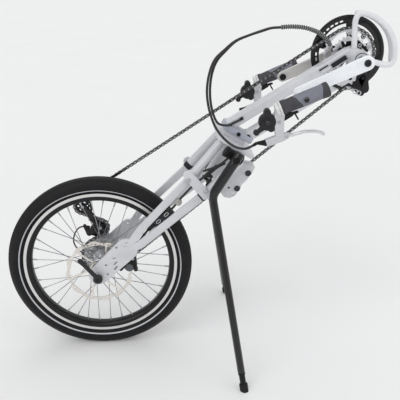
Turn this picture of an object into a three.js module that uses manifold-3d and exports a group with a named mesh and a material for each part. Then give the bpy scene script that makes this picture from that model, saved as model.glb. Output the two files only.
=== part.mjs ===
// Clip-on handcycle standing on its front wheel and two stand legs.
// Millimetres, +X towards the cranks, +Y towards the chain side, +Z up.
// Points named "from the hub" are [x, z] pairs measured from the wheel axle.

import * as THREE from 'three';
import { mergeVertices } from 'three/addons/utils/BufferGeometryUtils.js';
import Module from 'manifold-3d';

const wasm = await Module();
wasm.setup();

// Fits shared by every joint and seat
const gap = 0.3;
const overrun = 6;

// Facet counts
const wheelFacetCount = 32;
const hubFacetCount = 16;
const tubeFacetCount = 10;
const rodFacetCount = 8;
const spokeFacetCount = 3;
const cordFacetCount = 8;
const smallFacetCount = 6;
const gripFacetCount = 12;
const cornerStepCount = 4;
const chainStepAngle = 12;
const hoopNearStepCount = 24;
const hoopFarStepCount = 11;
const leverStepCount = 12;
const handleCableStepCount = 28;
const frameCableStepCount = 22;
const derailleurCableStepCount = 16;
const hoseStepCount = 20;

// Wheel
const rimFlangeRadius = 209;
const rimDepth = 22;
const rimInnerRadius = rimFlangeRadius - rimDepth;
const tyreHeight = 41;
const tyreRadius = rimFlangeRadius + tyreHeight;
const tyreWidth = 47;
const tyreWall = 4;
const tyreSideWall = 5.6;
// Tyre section: shares of the depth above the rim's edge and of the half width
const tyreSectionShares = [[0.2, 0.86], [0.5, 1], [0.8, 0.8], [1, 0.3]];
const tyreHollowShare = 0.6;
const rimKneeDepth = 5.3;
const rimWidth = 28;
const rimFootWidth = 16;
const rimWall = 2.2;
const beadDepth = 8;
const spokeCount = 36;
const spokeRadius = 0.9;
const spokeCrossCount = 3;
const spokeRimOffset = 3;
const spokeRankOffset = 0.8;
const flangeOffset = 30;
const flangeRadius = 26;
const flangeWidth = 5.4;
const hubBodyRadius = 16;
const hubWaistRadius = 13;
const axleRadius = 6;
const rotorRadius = 90;
const rotorWave = 2;
const rotorWaveCount = 12;
const rotorTrackWidth = 15;
const rotorThickness = 2;
const rotorOffset = 52;
const rotorHubRadius = 25;
const rotorSeatRadius = 22;
const rotorSeatDepth = 6;
const rotorBossRadius = 14;
const rotorArmCount = 6;
const rotorArmTurnShare = 0.35;
const rotorOuterWindowShare = 0.76;
const rotorInnerWindowShare = 0.6;
const rotorWindowStepCount = 4;
const rotorStepsPerWave = 4;
const hubLeftEnd = 60;
const hubRightEnd = 37;

// Drive train
const chainPitch = 12.7;
const chainLine = 43.5;
const chainHalfDepth = 3.7;
const chainHalfWidth = 4;
const ringToothCount = 32;
const smallRingToothCount = 22;
const cogToothCounts = [28, 24, 20, 17, 14];
const cogSpacing = 4.6;
const cogThickness = 2;
const freehubRadius = 17;
const toothHeight = 4;
const toothShare = 0.15;
const pulleyToothCount = 11;
const pulleyThickness = 6;
const pulleyAxleRadius = 2.5;
const guidePulleyFromHub = [-1, 88];
const tensionPulleyFromHub = [-46, 152];

// Fork
const dropoutOffset = 72;
const dropoutThickness = 8;
const hubBossRadius = 26;
const dropoutKneeFromHub = [76, 74];
const dropoutKneeRadius = 30;
const armThickness = 10;
const upperArmDepth = 20;
const lowerArmDepth = 22;
const forkTubeRadius = 12;
const forkTubeWall = 1.8;
const upperFootFromHub = [112, 126];
const upperJointFromHub = [238, 254];
const upperHeadFromHub = [324, 351];
const upperHeadOffset = 38;
const lowerFootFromHub = [108, 83];
const lowerJointFromHub = [274, 213];
const lowerHeadFromHub = [373, 304];
const lowerHeadOffset = 50;
const linkTopFromHub = [239, 276];
const linkBottomFromHub = [284, 222];
const linkBoltsFromHub = [[239, 262], [283, 232]];
const linkPinFromHub = [263, 233];
const linkPinRadius = 6;
const linkHalfWidth = 12.5;
const linkThickness = 4;
const slotSkew = 14;
const slotReaches = [39, 53];
const slotLean = 35;
const slotLength = 14;
const slotRadius = 3;
const hangerShare = 0.9;
const mountShare = 0.4;
const caliperEarRadius = 10.4;
const boltHeadRadius = 5.5;
const boltHeadDepth = 3;

// Crown between fork and boom
const crownFrontFromHub = [319, 369];
const crownRearFromHub = [391, 325];
const crownThickness = 10;
const crownHalfWidth = 76;
const crownRoundRadius = 14;
const crownNeckLength = 12;
const crownNeckHalfWidth = 26;
const coverThickness = 16;
const coverHalfWidth = 34;

// Boom and bottom bracket
const bracketFromHub = [654, 554];
const shellRadius = 22;
const shellLeftEnd = 60;
const shellRightEnd = 31;
const webFootFromHub = [648, 497];
const webHalfDepth = 11;
const railWidth = 40;
const railHeight = 24;
const railWall = 2;
const upperRailSeat = 18;
const lowerRailSeat = 10;
const upperRailEndFromHub = [640, 564];
const lowerRailEndFromHub = [640, 505];
const hoopRadius = 102.5;
const hoopTubeRadius = 7;
const hoopStartAngle = 93;
const hoopEndAngle = -15;
const hoopFarOffset = 22;
const hoopBarAngles = [88, 38, -8];
const hoopBarRadius = 5;
const hoopBendAngle = 8;
const hoopStepAngle = 10;
const hoopLegShare = 0.5;

// Crankset
const crankOffset = 106;
const crankThickness = 12;
const crankReach = 169;
const crankAngle = 203.3;
const crankRootRadius = 17;
const crankTipRadius = 13;
const crankAxleRadius = 8;
const crankCapRadius = 9.6;
const crankCapStemRadius = 4.8;
const crankCapDepth = 3;
const spiderOffset = 50;
const spiderThickness = 4;
const spiderHubRadius = 20;
const spiderArmCount = 5;
const spiderArmHalfWidth = 7;
const spiderFirstAngle = 18;
const spiderBoltRadius = 3.9;
const boltCircleRadius = 52;
const ringThickness = 2.4;
const smallRingOffset = 36.5;
const ringBoreRadius = 46;
const guardRadius = 95;
const guardBoreRadius = 77;
const guardOffset = 55.6;
const guardThickness = 3.5;
const guardTabHalfWidth = 8;
const guardTabRootHalfWidth = 11;

// Handles and controls
const handleOffset = 170;
const handleAxleRadius = 5;
const handleNutRadius = 9;
const handleNutDepth = 4;
const gripLength = 113;
const gripLowRadius = 16;
const gripHighRadius = 18;
const gripLip = 1.2;
const gripBandLength = 9;
const gripAngle = 22.3;
const collarThickness = 5;
const collarLift = 2;
const armAngle = -88;
const armHalfWidth = 12;
const armHalfDepth = 8;
const armReach = 68;
const armBow = 4;
const elbowReach = 28.5;
const elbowHalfWidth = 13;
const armFootHalfWidth = 9.6;
const leverBodyAngle = 20;
const leverBodyRadius = 9;
const leverBodyTail = 35;
const leverBodyNose = 7;
const leverPivotReach = 8;
const leverPivotRadius = 3;
const leverEarHalfWidth = 5;
const leverEarWall = 3;
const leverEarRadius = 7;
const leverEarShare = 0.8;
const leverSlotShare = 0.98;
const leverAngle = 8;
const leverReach = 88;
const leverRadius = 4.5;
const leverEyeRadius = 6.3;
// Lever line beyond its pivot: shares of the reach, along and upwards
const leverShares = [[0.2, 0], [0.5, 0.03], [0.82, -0.02], [1, -0.14]];
const shifterRadius = 20;
const shifterHalfWidth = 10;
const shifterHubRadius = 6;
const shifterHubStand = 5;
const shifterReach = 25.5;
const shiftLeverAngle = -137;
const shiftArmRadius = 3.5;
const shiftArmRootRadius = 9.6;
const shiftArmThickness = 4;
const shiftKnobRadius = 7;
const shiftKnobInset = 1;
const shiftReach = 34;

// Steering and docking unit
const headRadius = 16;
const headLowEnd = -118;
const headHighEnd = -14;
const steererRadius = 9;
const steererNutDepth = 9;
const steererNutRadius = 13;
const dockPlateGap = 16;
const dockPlateThickness = 7;
const dockCornersFromHub = [[325, 207], [364, 291], [376, 288], [412, 281], [416, 274], [408, 257], [394,
  238],
  [382, 226], [377, 212], [364, 195], [352, 189], [336, 192]];
const dockBoltsFromHub = [[398, 258], [370, 216]];
const dockHoleFromHub = [359, 202];
const dockHoleRadius = 4;
const dockBoltRadius = 5;
const dockBoltHeadRadius = 7;
const dockBoltHeadDepth = 4;
const dockWebInset = 8;
const dockWebTop = -40;
const dockWebReach = 40;

// Stand
const barrelFrontFromHub = [330, 340];
const barrelRearFromHub = [372, 312];
const barrelRadius = 14;
const barrelOffset = 77;
const standPivotFromHub = [356, 322.5];
const standPinRadius = 5;
const standTubeRadius = 12.5;
const standLowerRadius = 9.5;
const standOffset = 98;
const standTopLength = 20;
const standBendFromHub = [299, 231];
const standFootAhead = 373;
const standFootFromHub = [standFootAhead, -tyreRadius];
const standFootOffset = 246;
const standEyeRadius = 9;
const standInnerRadius = 7.8;
const standInnerLength = 46;
const footRadius = 11;
const footLength = 18;
const pinHeadDepth = 4;
const pinHeadRadius = 8;

// Brakes, derailleurs and fittings
const skewerEnd = 86;
const skewerNutRadius = 11;
const locknutRadius = 9.5;
const releaseHubRadius = 11;
const releaseOffset = 94;
const releaseHalfWidth = 6;
const releaseTipFromHub = [-47, 62];
const releaseTipRadius = 6;
const releaseRootRadius = 7.8;
const caliperFromHub = [81, 17];
const caliperRadius = 13;
const caliperHalfWidth = 13;
const caliperSlot = 2.6;
const caliperFootFromHub = [62, 50];
const caliperArmFromHub = [98, 58];
const caliperArmRadius = 6;
const caliperTabRadius = 10;
const cageRadius = 11;
const cageThickness = 1.6;
const cageHalfGap = 6.5;
const derailleurBodyFromHub = [6, 86];
const derailleurBodyRadius = 15;
const derailleurHangerRadius = 9;
const derailleurBoxAngle = 208;
const derailleurBoxReach = 22.5;
const derailleurBoxRadius = 11.5;
const runningRoom = 2;
const shiftBodyOffset = 10;
const shiftBodyAngle = -32.7;
const shiftBodyReach = 33.3;
const shiftBodyRadius = 14;
const shiftHornAngle = 62;
const shiftHornReach = 22;
const shiftTailAngle = -55;
const shiftTailReach = 26;
const shiftTailRadius = 9;
const shiftCageSetback = 30;
const shiftCageRoom = 1.5;
const shiftCageLength = 48;
const shiftCageHeight = 22;
const blockFromHub = [172, 159];
const blockOffset = 62;
const blockLength = 56;
const blockHeight = 14.5;
const blockWidth = 12;
const blockSlotHalfLength = 3.5;
const blockSlotHeight = 6;
const blockSlotShares = [-0.25, 0.25];
const housingRadius = 2.5;
const wrapRadius = 5.4;
const wrapBoreRadius = 3.2;
const wrapRootRadius = 4.3;
const wrapRibCount = 27;
const wrapRibsPerBoreRing = 5;
const wrapFacetCount = 8;

const shades = {
  paint: [0xdde0e4, 0.35, 0.25],
  silver: [0xc9ccd0, 0.3, 0.9],
  crown: [0xaab0bd, 0.4, 0.5],
  black: [0x1c1c1f, 0.45, 0.1],
  rubber: [0x232325, 0.85, 0],
  steel: [0xa8abae, 0.35, 0.9],
  grey: [0x7f828c, 0.6, 0],
  chain: [0x55575a, 0.4, 0.8],
  beige: [0xb7aa98, 0.6, 0],
};

// Geometry helpers

const radians = THREE.MathUtils.degToRad;
const hubHeight = tyreRadius;

function vector(point, y) {
  return new THREE.Vector3(point[0], y, point[1]);
}

function shift(point, angle, reach) {
  return [point[0] + reach * Math.cos(radians(angle)), point[1] + reach * Math.sin(radians(angle))];
}

function between(a, b, share) {
  return [a[0] + (b[0] - a[0]) * share, a[1] + (b[1] - a[1]) * share];
}

function distance(a, b) {
  return Math.hypot(b[0] - a[0], b[1] - a[1]);
}

function heading(a, b) {
  return THREE.MathUtils.radToDeg(Math.atan2(b[1] - a[1], b[0] - a[0]));
}

// Merges a geometry's vertices and turns its faces outwards
function outward(geometry) {
  const bare = geometry.index ? geometry.toNonIndexed() : geometry.clone();
  bare.deleteAttribute('normal');
  bare.deleteAttribute('uv');
  const merged = mergeVertices(bare, 1e-4);
  const places = merged.attributes.position;
  const index = merged.index.array;
  const kept = [];
  let volume = 0;
  const [a, b, c] = [new THREE.Vector3(), new THREE.Vector3(), new THREE.Vector3()];
  for (let i = 0; i < index.length; i += 3) {
    const [p, q, r] = [index[i], index[i + 1], index[i + 2]];
    if (p === q || q === r || r === p) continue;
    kept.push(p, q, r);
    a.fromBufferAttribute(places, p);
    b.fromBufferAttribute(places, q);
    c.fromBufferAttribute(places, r);
    volume += a.dot(b.cross(c));
  }
  if (volume < 0) kept.reverse();
  merged.setIndex(kept);
  return merged;
}

function solid(geometry) {
  const merged = outward(geometry);
  const vertProperties = new Float32Array(merged.attributes.position.array);
  const triVerts = new Uint32Array(merged.index.array);
  return new wasm.Manifold(new wasm.Mesh({ numProp: 3, vertProperties, triVerts }));
}

function geometryOf(manifold) {
  const mesh = manifold.getMesh();
  const geometry = new THREE.BufferGeometry();
  geometry.setAttribute('position', new THREE.BufferAttribute(mesh.vertProperties, 3));
  geometry.setIndex(new THREE.BufferAttribute(mesh.triVerts, 1));
  return geometry;
}

function join(...geometries) {
  return geometryOf(geometries.map(solid).reduce((sum, next) => sum.add(next)));
}

function cut(geometry, ...tools) {
  return geometryOf(tools.map(solid).reduce((rest, tool) => rest.subtract(tool), solid(geometry)));
}

// A cylinder between two points
function rod(from, to, radius, facetCount = tubeFacetCount, endRadius = radius) {
  const span = new THREE.Vector3().subVectors(to, from);
  const geometry = new THREE.CylinderGeometry(endRadius, radius, span.length(), facetCount);
  geometry.applyQuaternion(new THREE.Quaternion().setFromUnitVectors(
    new THREE.Vector3(0, 1, 0), span.clone().normalize()));
  const middle = from.clone().add(to).multiplyScalar(0.5);
  return geometry.translate(middle.x, middle.y, middle.z);
}

// A pin along Y at a point given as [x, z]
function pin(point, yLow, yHigh, radius, facetCount = tubeFacetCount) {
  return rod(vector(point, yLow), vector(point, yHigh), radius, facetCount);
}

// An open-ended tube between two points
function tube(from, to, radius, bore, facetCount = tubeFacetCount) {
  const reach = new THREE.Vector3().subVectors(to, from).setLength(overrun);
  const drill = rod(from.clone().sub(reach), to.clone().add(reach), bore, facetCount);
  return cut(rod(from, to, radius, facetCount), drill);
}

// A ring or hub turned about the Y axis from a closed [radius, y] profile
function turned(profile, facetCount) {
  const points = profile.map(([radius, y]) => new THREE.Vector2(radius, y));
  points.push(points[0].clone());
  return new THREE.LatheGeometry(points, facetCount);
}

// A plate cut from an [x, z] outline, between two places along Y
function plate(outline, yLow, yHigh, holes = []) {
  const shape = new THREE.Shape(outline.map(([x, z]) => new THREE.Vector2(x, z)));
  for (const hole of holes) shape.holes.push(new THREE.Path(hole.map(([x, z]) => new THREE.Vector2(x, z))));
  const geometry = new THREE.ExtrudeGeometry(shape, { depth: yHigh - yLow, bevelEnabled: false });
  return geometry.rotateX(Math.PI / 2).translate(0, yHigh, 0);
}

function circle(point, radius, facetCount = tubeFacetCount) {
  return Array.from({ length: facetCount }, (_, i) => shift(point, (i * 360) / facetCount, radius));
}

// The outline around two circles of their own radii
function strap(a, radiusA, b, radiusB) {
  const way = heading(a, b);
  const lean = THREE.MathUtils.radToDeg(Math.acos((radiusA - radiusB) / distance(a, b)));
  const outline = [];
  for (let i = 0; i <= cornerStepCount; i += 1) {
    outline.push(shift(b, way - lean + (2 * lean * i) / cornerStepCount, radiusB));
  }
  const sweep = 360 - 2 * lean;
  for (let i = 0; i <= cornerStepCount; i += 1) {
    outline.push(shift(a, way + lean + (sweep * i) / cornerStepCount, radiusA));
  }
  return outline;
}

// A rectangular bar from a to b, both [x, z], as high across as it is told and centred on y = 0
function barOutline(a, b, halfHeight) {
  const side = heading(a, b) + 90;
  return [shift(a, side, -halfHeight), shift(b, side, -halfHeight), shift(b, side, halfHeight),
    shift(a, side, halfHeight)];
}

// A round bar swept along points in space
function swept(points, radius, stepCount, facetCount = rodFacetCount) {
  const path = new THREE.CatmullRomCurve3(points, false, 'centripetal');
  const section = new THREE.Shape(Array.from({ length: facetCount }, (_, i) => new THREE.Vector2(
    radius * Math.cos((2 * Math.PI * i) / facetCount), radius * Math.sin((2 * Math.PI * i) / facetCount))));
  return new THREE.ExtrudeGeometry(section, { steps: stepCount, bevelEnabled: false, extrudePath: path });
}

function piece(parent, name, geometry, shade) {
  const [color, roughness, metalness] = shades[shade];
  const clean = outward(geometry);
  clean.computeVertexNormals();
  const mesh = new THREE.Mesh(clean, new THREE.MeshStandardMaterial({ color, roughness, metalness }));
  mesh.name = name;
  parent.add(mesh);
  return mesh;
}

function groupAt(parent, x, y, z) {
  const group = new THREE.Group();
  group.position.set(x, y, z);
  parent.add(group);
  return group;
}

const pitchRadius = (toothCount) => (toothCount * chainPitch) / (2 * Math.PI);
const chainFlat = 1 - Math.cos(radians(chainStepAngle / 2));
const tipRadius = (toothCount) => pitchRadius(toothCount) * (1 - chainFlat) - chainHalfDepth - gap;

// A sprocket outline whose teeth end just inside the chain
function sprocket(toothCount) {
  const outline = [];
  const tip = tipRadius(toothCount);
  const turn = 360 / toothCount;
  for (let i = 0; i < toothCount; i += 1) {
    outline.push(shift([0, 0], (i - 1 / 2) * turn, tip - toothHeight));
    outline.push(shift([0, 0], (i - toothShare) * turn, tip));
    outline.push(shift([0, 0], (i + toothShare) * turn, tip));
  }
  return outline;
}

// Wheel: tyre, rim, spokes, hub and brake rotor, about the origin

function makeWheel(parent) {
  const wheel = groupAt(parent, 0, 0, hubHeight);
  const bead = rimWidth / 2 - rimWall - gap;
  const seat = rimFlangeRadius - beadDepth;
  const half = tyreWidth / 2;
  const depth = tyreRadius - rimFlangeRadius - gap;
  const edge = rimFlangeRadius + gap;
  const outerHalf = [[seat, bead], [edge, bead],
    ...tyreSectionShares.map(([up, out]) => [edge + depth * up, half * out])];
  const innerHalf = [[edge + depth * tyreHollowShare, half - tyreSideWall], [seat, bead - tyreWall]];
  piece(wheel, 'tyre', turned(ringProfile(outerHalf, innerHalf), wheelFacetCount), 'rubber');

  const foot = rimFootWidth / 2;
  const side = rimWidth / 2;
  const knee = rimInnerRadius + rimKneeDepth;
  const rimOuter = [[rimFlangeRadius, side], [knee, side], [rimInnerRadius, foot]];
  const rimInner = [[knee, side - rimWall], [rimFlangeRadius, side - rimWall]];
  piece(wheel, 'rim', turned(ringProfile(rimOuter, rimInner), wheelFacetCount), 'black');

  piece(wheel, 'spokes_left', makeSpokes(-1), 'steel');
  piece(wheel, 'spokes_right', makeSpokes(1), 'steel');

  const bore = axleRadius + gap;
  const seatFace = rotorOffset - rotorThickness / 2 - gap;
  const flange = flangeWidth / 2;
  const left = [[bore, -hubLeftEnd], [rotorBossRadius, -hubLeftEnd], [rotorBossRadius, -seatFace],
    [rotorSeatRadius, -seatFace], [rotorSeatRadius, -seatFace + rotorSeatDepth],
    [hubBodyRadius, -flangeOffset - flange], [flangeRadius, -flangeOffset - flange],
    [flangeRadius, -flangeOffset + flange], [hubWaistRadius, -flangeOffset + 2 * flange]];
  const right = [[hubWaistRadius, flangeOffset - 2 * flange], [flangeRadius, flangeOffset - flange],
    [flangeRadius, flangeOffset + flange], [hubBodyRadius, flangeOffset + flange],
    [hubBodyRadius, hubRightEnd], [bore, hubRightEnd]];
  piece(wheel, 'hub_shell', turned([...left, ...right], hubFacetCount), 'silver');

  piece(wheel, 'brake_rotor', makeRotor(), 'steel');
  return wheel;
}

// A closed section: outside from edge to edge, then the hollow's wall back again
function ringProfile(outerHalf, innerHalf) {
  const mirror = ([radius, y]) => [radius, -y];
  return [...outerHalf, ...outerHalf.map(mirror).reverse(), ...innerHalf.map(mirror).reverse(),
    ...innerHalf];
}

// One side's spokes: each leaves the flange at a slant, and the two hands meet where they cross
function makeSpokes(side) {
  const perSide = spokeCount / 2;
  const turn = 360 / perSide;
  const lead = spokeCrossCount * turn;
  const startRadius = flangeRadius + spokeRadius + gap;
  const endRadius = rimInnerRadius * Math.cos(Math.PI / wheelFacetCount) - spokeRadius;
  const spokes = [];
  for (let i = 0; i < perSide; i += 1) {
    const hand = i % 2 ? 1 : -1;
    const rimAngle = (i + side / 4) * turn;
    const rank = hand * spokeRankOffset;
    const start = vector(shift([0, 0], rimAngle - hand * lead, startRadius), side * flangeOffset + rank);
    const end = vector(shift([0, 0], rimAngle, endRadius), side * spokeRimOffset);
    spokes.push(rod(start, end, spokeRadius, spokeFacetCount));
  }
  return join(...spokes);
}

function makeRotor() {
  const outline = [];
  const stepCount = rotorWaveCount * rotorStepsPerWave;
  for (let i = 0; i < stepCount; i += 1) {
    const turn = (i * 360) / stepCount;
    const wave = rotorWave * Math.cos(radians(turn * rotorWaveCount));
    outline.push(shift([0, 0], turn, rotorRadius - rotorWave + wave));
  }
  const track = rotorRadius - 2 * rotorWave - rotorTrackWidth;
  const pitch = 360 / rotorArmCount;
  const windows = [circle([0, 0], rotorBossRadius + gap, hubFacetCount)];
  for (let i = 0; i < rotorArmCount; i += 1) {
    const lean = pitch * rotorArmTurnShare;
    const at = i * pitch;
    const window = [];
    for (let k = 0; k <= rotorWindowStepCount; k += 1) {
      const share = (k / rotorWindowStepCount) * rotorOuterWindowShare;
      window.push(shift([0, 0], at + lean + pitch * share, track));
    }
    for (let k = rotorWindowStepCount; k >= 0; k -= 2) {
      const share = (k / rotorWindowStepCount) * rotorInnerWindowShare;
      window.push(shift([0, 0], at + pitch * share, rotorHubRadius));
    }
    windows.push(window);
  }
  return plate(outline, -rotorOffset - rotorThickness / 2, -rotorOffset + rotorThickness / 2, windows);
}

// Cassette: cogs on their freehub body
function makeCassette(parent) {
  const cassette = groupAt(parent, 0, 0, hubHeight);
  const cogs = cogToothCounts.map((toothCount, i) => {
    const y = chainLine + i * cogSpacing;
    const outline = i < 1 ? sprocket(toothCount) : circle([0, 0], tipRadius(toothCount), hubFacetCount);
    return plate(outline, y - cogThickness / 2, y + cogThickness / 2);
  });
  const nearEnd = hubRightEnd + gap;
  const farEnd = dropoutOffset - dropoutThickness / 2 - 2 * gap - cogThickness;
  const core = pin([0, 0], nearEnd, farEnd, freehubRadius, hubFacetCount);
  const bore = pin([0, 0], nearEnd - overrun, farEnd + overrun, axleRadius + gap, hubFacetCount);
  piece(cassette, 'cassette', cut(join(core, ...cogs), bore), 'steel');
}

// Fork: each side's blade splits into two arms that lean in towards the crown, where tubes go on from them

const forkRuns = {
  upper: { foot: upperFootFromHub, joint: upperJointFromHub, head: upperHeadFromHub,
    headOffset: upperHeadOffset,
    depth: upperArmDepth },
  lower: { foot: lowerFootFromHub, joint: lowerJointFromHub, head: lowerHeadFromHub,
  headOffset: lowerHeadOffset,
    depth: lowerArmDepth },
};

// How far from the middle plane a run lies at its joint
function jointOffset({ foot, joint, head, headOffset }) {
  const share = distance(foot, joint) / (distance(foot, joint) + distance(joint, head));
  return THREE.MathUtils.lerp(dropoutOffset, headOffset, share);
}

// A box beam between two points, its depth square to its run in the middle plane
function beam(from, to, depth, thickness) {
  const along = new THREE.Vector3().subVectors(to, from);
  const length = along.length();
  along.normalize();
  const up = new THREE.Vector3(0, 1, 0).cross(along).normalize();
  const across = new THREE.Vector3().crossVectors(up, along);
  const middle = from.clone().add(to).multiplyScalar(0.5);
  const frame = new THREE.Matrix4().makeBasis(along, up, across.negate()).setPosition(middle);
  return new THREE.BoxGeometry(length, depth, thickness).applyMatrix4(frame);
}

const crownAngle = heading(crownFrontFromHub, crownRearFromHub);
const crownNormal = crownAngle + 90;

function slab(front, rear, lowOffset, highOffset, halfWidth) {
  const corners = [shift(front, crownNormal, lowOffset), shift(rear, crownNormal, lowOffset),
    shift(rear, crownNormal, highOffset), shift(front, crownNormal, highOffset)];
  return plate(corners, -halfWidth, halfWidth);
}

// Everything above a face of the crown, used to trim what ends on it
function aboveCrown(lift = -crownThickness / 2 - gap) {
  const far = distance([0, 0], crownFrontFromHub);
  const front = shift(crownFrontFromHub, crownAngle, -far);
  const rear = shift(crownRearFromHub, crownAngle, far);
  return slab(front, rear, lift, far, far);
}

function makeFork(parent) {
  const fork = groupAt(parent, 0, 0, hubHeight);
  for (const [word, side] of [['left', -1], ['right', 1]]) {
    for (const [kind, run] of Object.entries(forkRuns)) {
      const joint = vector(run.joint, side * jointOffset(run));
      const head = vector(run.head, side * run.headOffset);
      const way = new THREE.Vector3().subVectors(head, joint).normalize();
      const end = head.clone().addScaledVector(way, 4 * forkTubeRadius);
      const whole = tube(joint.clone().addScaledVector(way, gap), end, forkTubeRadius,
        forkTubeRadius - forkTubeWall);
      const before = beam(vector(run.foot, side * dropoutOffset), joint, 4 * forkTubeRadius,
        4 * forkTubeRadius);
      const room = before.clone().translate(way.x * gap, way.y * gap, way.z * gap);
      piece(fork, `fork_${kind}_tube_${word}`, cut(whole, aboveCrown(), room), 'paint');
    }
    piece(fork, `fork_blade_${word}`, makeBlade(side), 'paint');
  }
  makeLinkBridge(fork);
}

// One side's blade: the dropout plate, and the two arms that leave it with a slot between them
function makeBlade(side) {
  const yLow = side * dropoutOffset - dropoutThickness / 2;
  const yHigh = yLow + dropoutThickness;
  const parts = [plate(strap([0, 0], hubBossRadius, dropoutKneeFromHub, dropoutKneeRadius), yLow, yHigh)];
  for (const run of Object.values(forkRuns)) {
    const foot = vector(run.foot, side * dropoutOffset);
    parts.push(plate(strap(dropoutKneeFromHub, dropoutKneeRadius / 2, run.foot, run.depth / 2), yLow,
      yHigh));
    parts.push(beam(foot, vector(run.joint, side * jointOffset(run)), run.depth, armThickness));
  }
  const holes = [pin([0, 0], yLow - overrun, yHigh + overrun, axleRadius + gap)];
  const slotAngle = heading([0, 0], dropoutKneeFromHub) - slotSkew;
  for (const reach of slotReaches) {
    const middle = shift([0, 0], slotAngle, reach);
    const a = shift(middle, slotAngle + slotLean, -slotLength / 2);
    const b = shift(middle, slotAngle + slotLean, slotLength / 2);
    holes.push(plate(strap(a, slotRadius, b, slotRadius), yLow - overrun, yHigh + overrun));
  }
  const ear = side > 0 ? [[0, 0], hubBossRadius * hangerShare, derailleurBodyFromHub, derailleurHangerRadius]
    : [dropoutKneeFromHub, dropoutKneeRadius * mountShare, caliperFootFromHub, caliperEarRadius];
  parts.push(plate(strap(...ear), yLow, yHigh));
  return cut(join(...parts), ...holes);
}

// One bridge: a link plate on each side, joined by a cross tube that passes between the arms
function makeLinkBridge(fork) {
  const inner = Math.max(...Object.values(forkRuns).map(jointOffset)) + forkTubeRadius;
  const outer = inner + linkThickness;
  const parts = [pin(linkPinFromHub, -outer, outer, linkPinRadius)];
  for (const side of [-1, 1]) {
    const [low, high] = side > 0 ? [inner, outer] : [-outer, -inner];
    parts.push(plate(strap(linkTopFromHub, linkHalfWidth, linkBottomFromHub, linkHalfWidth), low, high));
    for (const point of linkBoltsFromHub) {
      parts.push(rod(vector(point, side * inner), vector(point, side * (outer + boltHeadDepth)),
        boltHeadRadius,
        smallFacetCount));
    }
  }
  piece(fork, 'link_bridge', join(...parts), 'silver');
}

// Crown: the flange that the fork tubes end on, its neck and the cover that carries the boom rails

const coverLow = crownThickness / 2 + crownNeckLength + gap;
const coverHigh = coverLow + coverThickness;

// The steering axis stands square on the crown's middle
function steerPoint(reach, across = 0) {
  const foot = between(crownFrontFromHub, crownRearFromHub, 0.5);
  return shift(shift(foot, crownNormal, reach), crownAngle, across);
}

function makeCrown(parent) {
  const crown = groupAt(parent, 0, 0, hubHeight);
  const half = crownThickness / 2;
  const flange = slab(shift(crownFrontFromHub, crownAngle, -crownRoundRadius / 2),
    shift(crownRearFromHub, crownAngle, crownRoundRadius), -half, half, crownHalfWidth);
  const neck = slab(shift(crownFrontFromHub, crownAngle, crownRoundRadius / 2),
    shift(crownRearFromHub, crownAngle, -crownRoundRadius), 0, half + crownNeckLength, crownNeckHalfWidth);
  const steererEnd = headLowEnd - gap - steererNutDepth;
  const steerer = rod(vector(steerPoint(steererEnd), 0), vector(steerPoint(0), 0), steererRadius,
    hubFacetCount);
  const nut = rod(vector(steerPoint(steererEnd), 0), vector(steerPoint(headLowEnd - gap), 0),
    steererNutRadius,
    rodFacetCount);
  const seat = rod(vector(steerPoint(headHighEnd + gap), 0), vector(steerPoint(0), 0), headRadius,
    hubFacetCount);
  piece(crown, 'crown_plate', join(flange, neck, steerer, nut, seat), 'paint');

  const blocks = [slab(crownFrontFromHub, crownRearFromHub, coverLow, coverHigh, coverHalfWidth)];
  const bolt = steerPoint((coverLow + coverHigh) / 2);
  for (const side of [-1, 1]) {
    const base = side * coverHalfWidth;
    blocks.push(rod(vector(bolt, base - side * boltHeadDepth), vector(bolt, base + side * boltHeadDepth),
      boltHeadRadius, rodFacetCount));
  }
  piece(crown, 'crown_cover', join(...blocks), 'crown');
  return crown;
}

// Boom: two box rails, the bracket shell with its web, and the guard hoop

function rail(start, end) {
  const way = heading(start, end);
  const length = distance(start, end);
  const half = railHeight / 2;
  const outer = plate(barOutline(start, shift(start, way, length), half), -railWidth / 2, railWidth / 2);
  const inner = plate(barOutline(shift(start, way, -overrun), shift(start, way, length + overrun),
    half - railWall),
    -railWidth / 2 + railWall, railWidth / 2 - railWall);
  const stop = railWidth + overrun;
  const shell = pin(bracketFromHub, -stop, stop, shellRadius + gap, hubFacetCount);
  const web = plate(barOutline(bracketFromHub, shift(webFootFromHub, heading(bracketFromHub, webFootFromHub),
    railHeight), webHalfDepth + gap), -stop, stop);
  return cut(outer, inner, shell, web);
}

function makeBoom(parent) {
  const boom = groupAt(parent, 0, 0, hubHeight);
  const upperStart = shift(shift(crownFrontFromHub, crownAngle, upperRailSeat), crownNormal, coverHigh +
    gap);
  const lowerStart = shift(shift(crownRearFromHub, crownAngle, -lowerRailSeat), crownNormal, coverHigh +
    gap);
  const below = belowRails();
  piece(boom, 'boom_upper_rail', cut(rail(shift(upperStart, heading(upperRailEndFromHub, upperStart),
    railHeight),
    upperRailEndFromHub), below), 'paint');
  piece(boom, 'boom_lower_rail', cut(rail(shift(lowerStart, heading(lowerRailEndFromHub, lowerStart),
    railHeight),
    lowerRailEndFromHub), below), 'paint');

  const shell = pin(bracketFromHub, -shellLeftEnd, shellRightEnd, shellRadius, hubFacetCount);
  const web = plate(barOutline(bracketFromHub, webFootFromHub, webHalfDepth), -railWidth / 2, railWidth / 2);
  const bore = pin(bracketFromHub, -shellLeftEnd - overrun, shellRightEnd + overrun, crankAxleRadius + gap,
    hubFacetCount);
  piece(boom, 'bracket_shell', cut(join(shell, web), bore), 'paint');
  makeHoop(boom);
  return boom;
}

// Everything below the cover's upper face, which the rails stop short of
function belowRails() {
  const far = distance(crownFrontFromHub, bracketFromHub);
  const front = shift(crownFrontFromHub, crownAngle, -far);
  const rear = shift(crownRearFromHub, crownAngle, far);
  return slab(front, rear, -far, coverHigh + gap, far);
}

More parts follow.
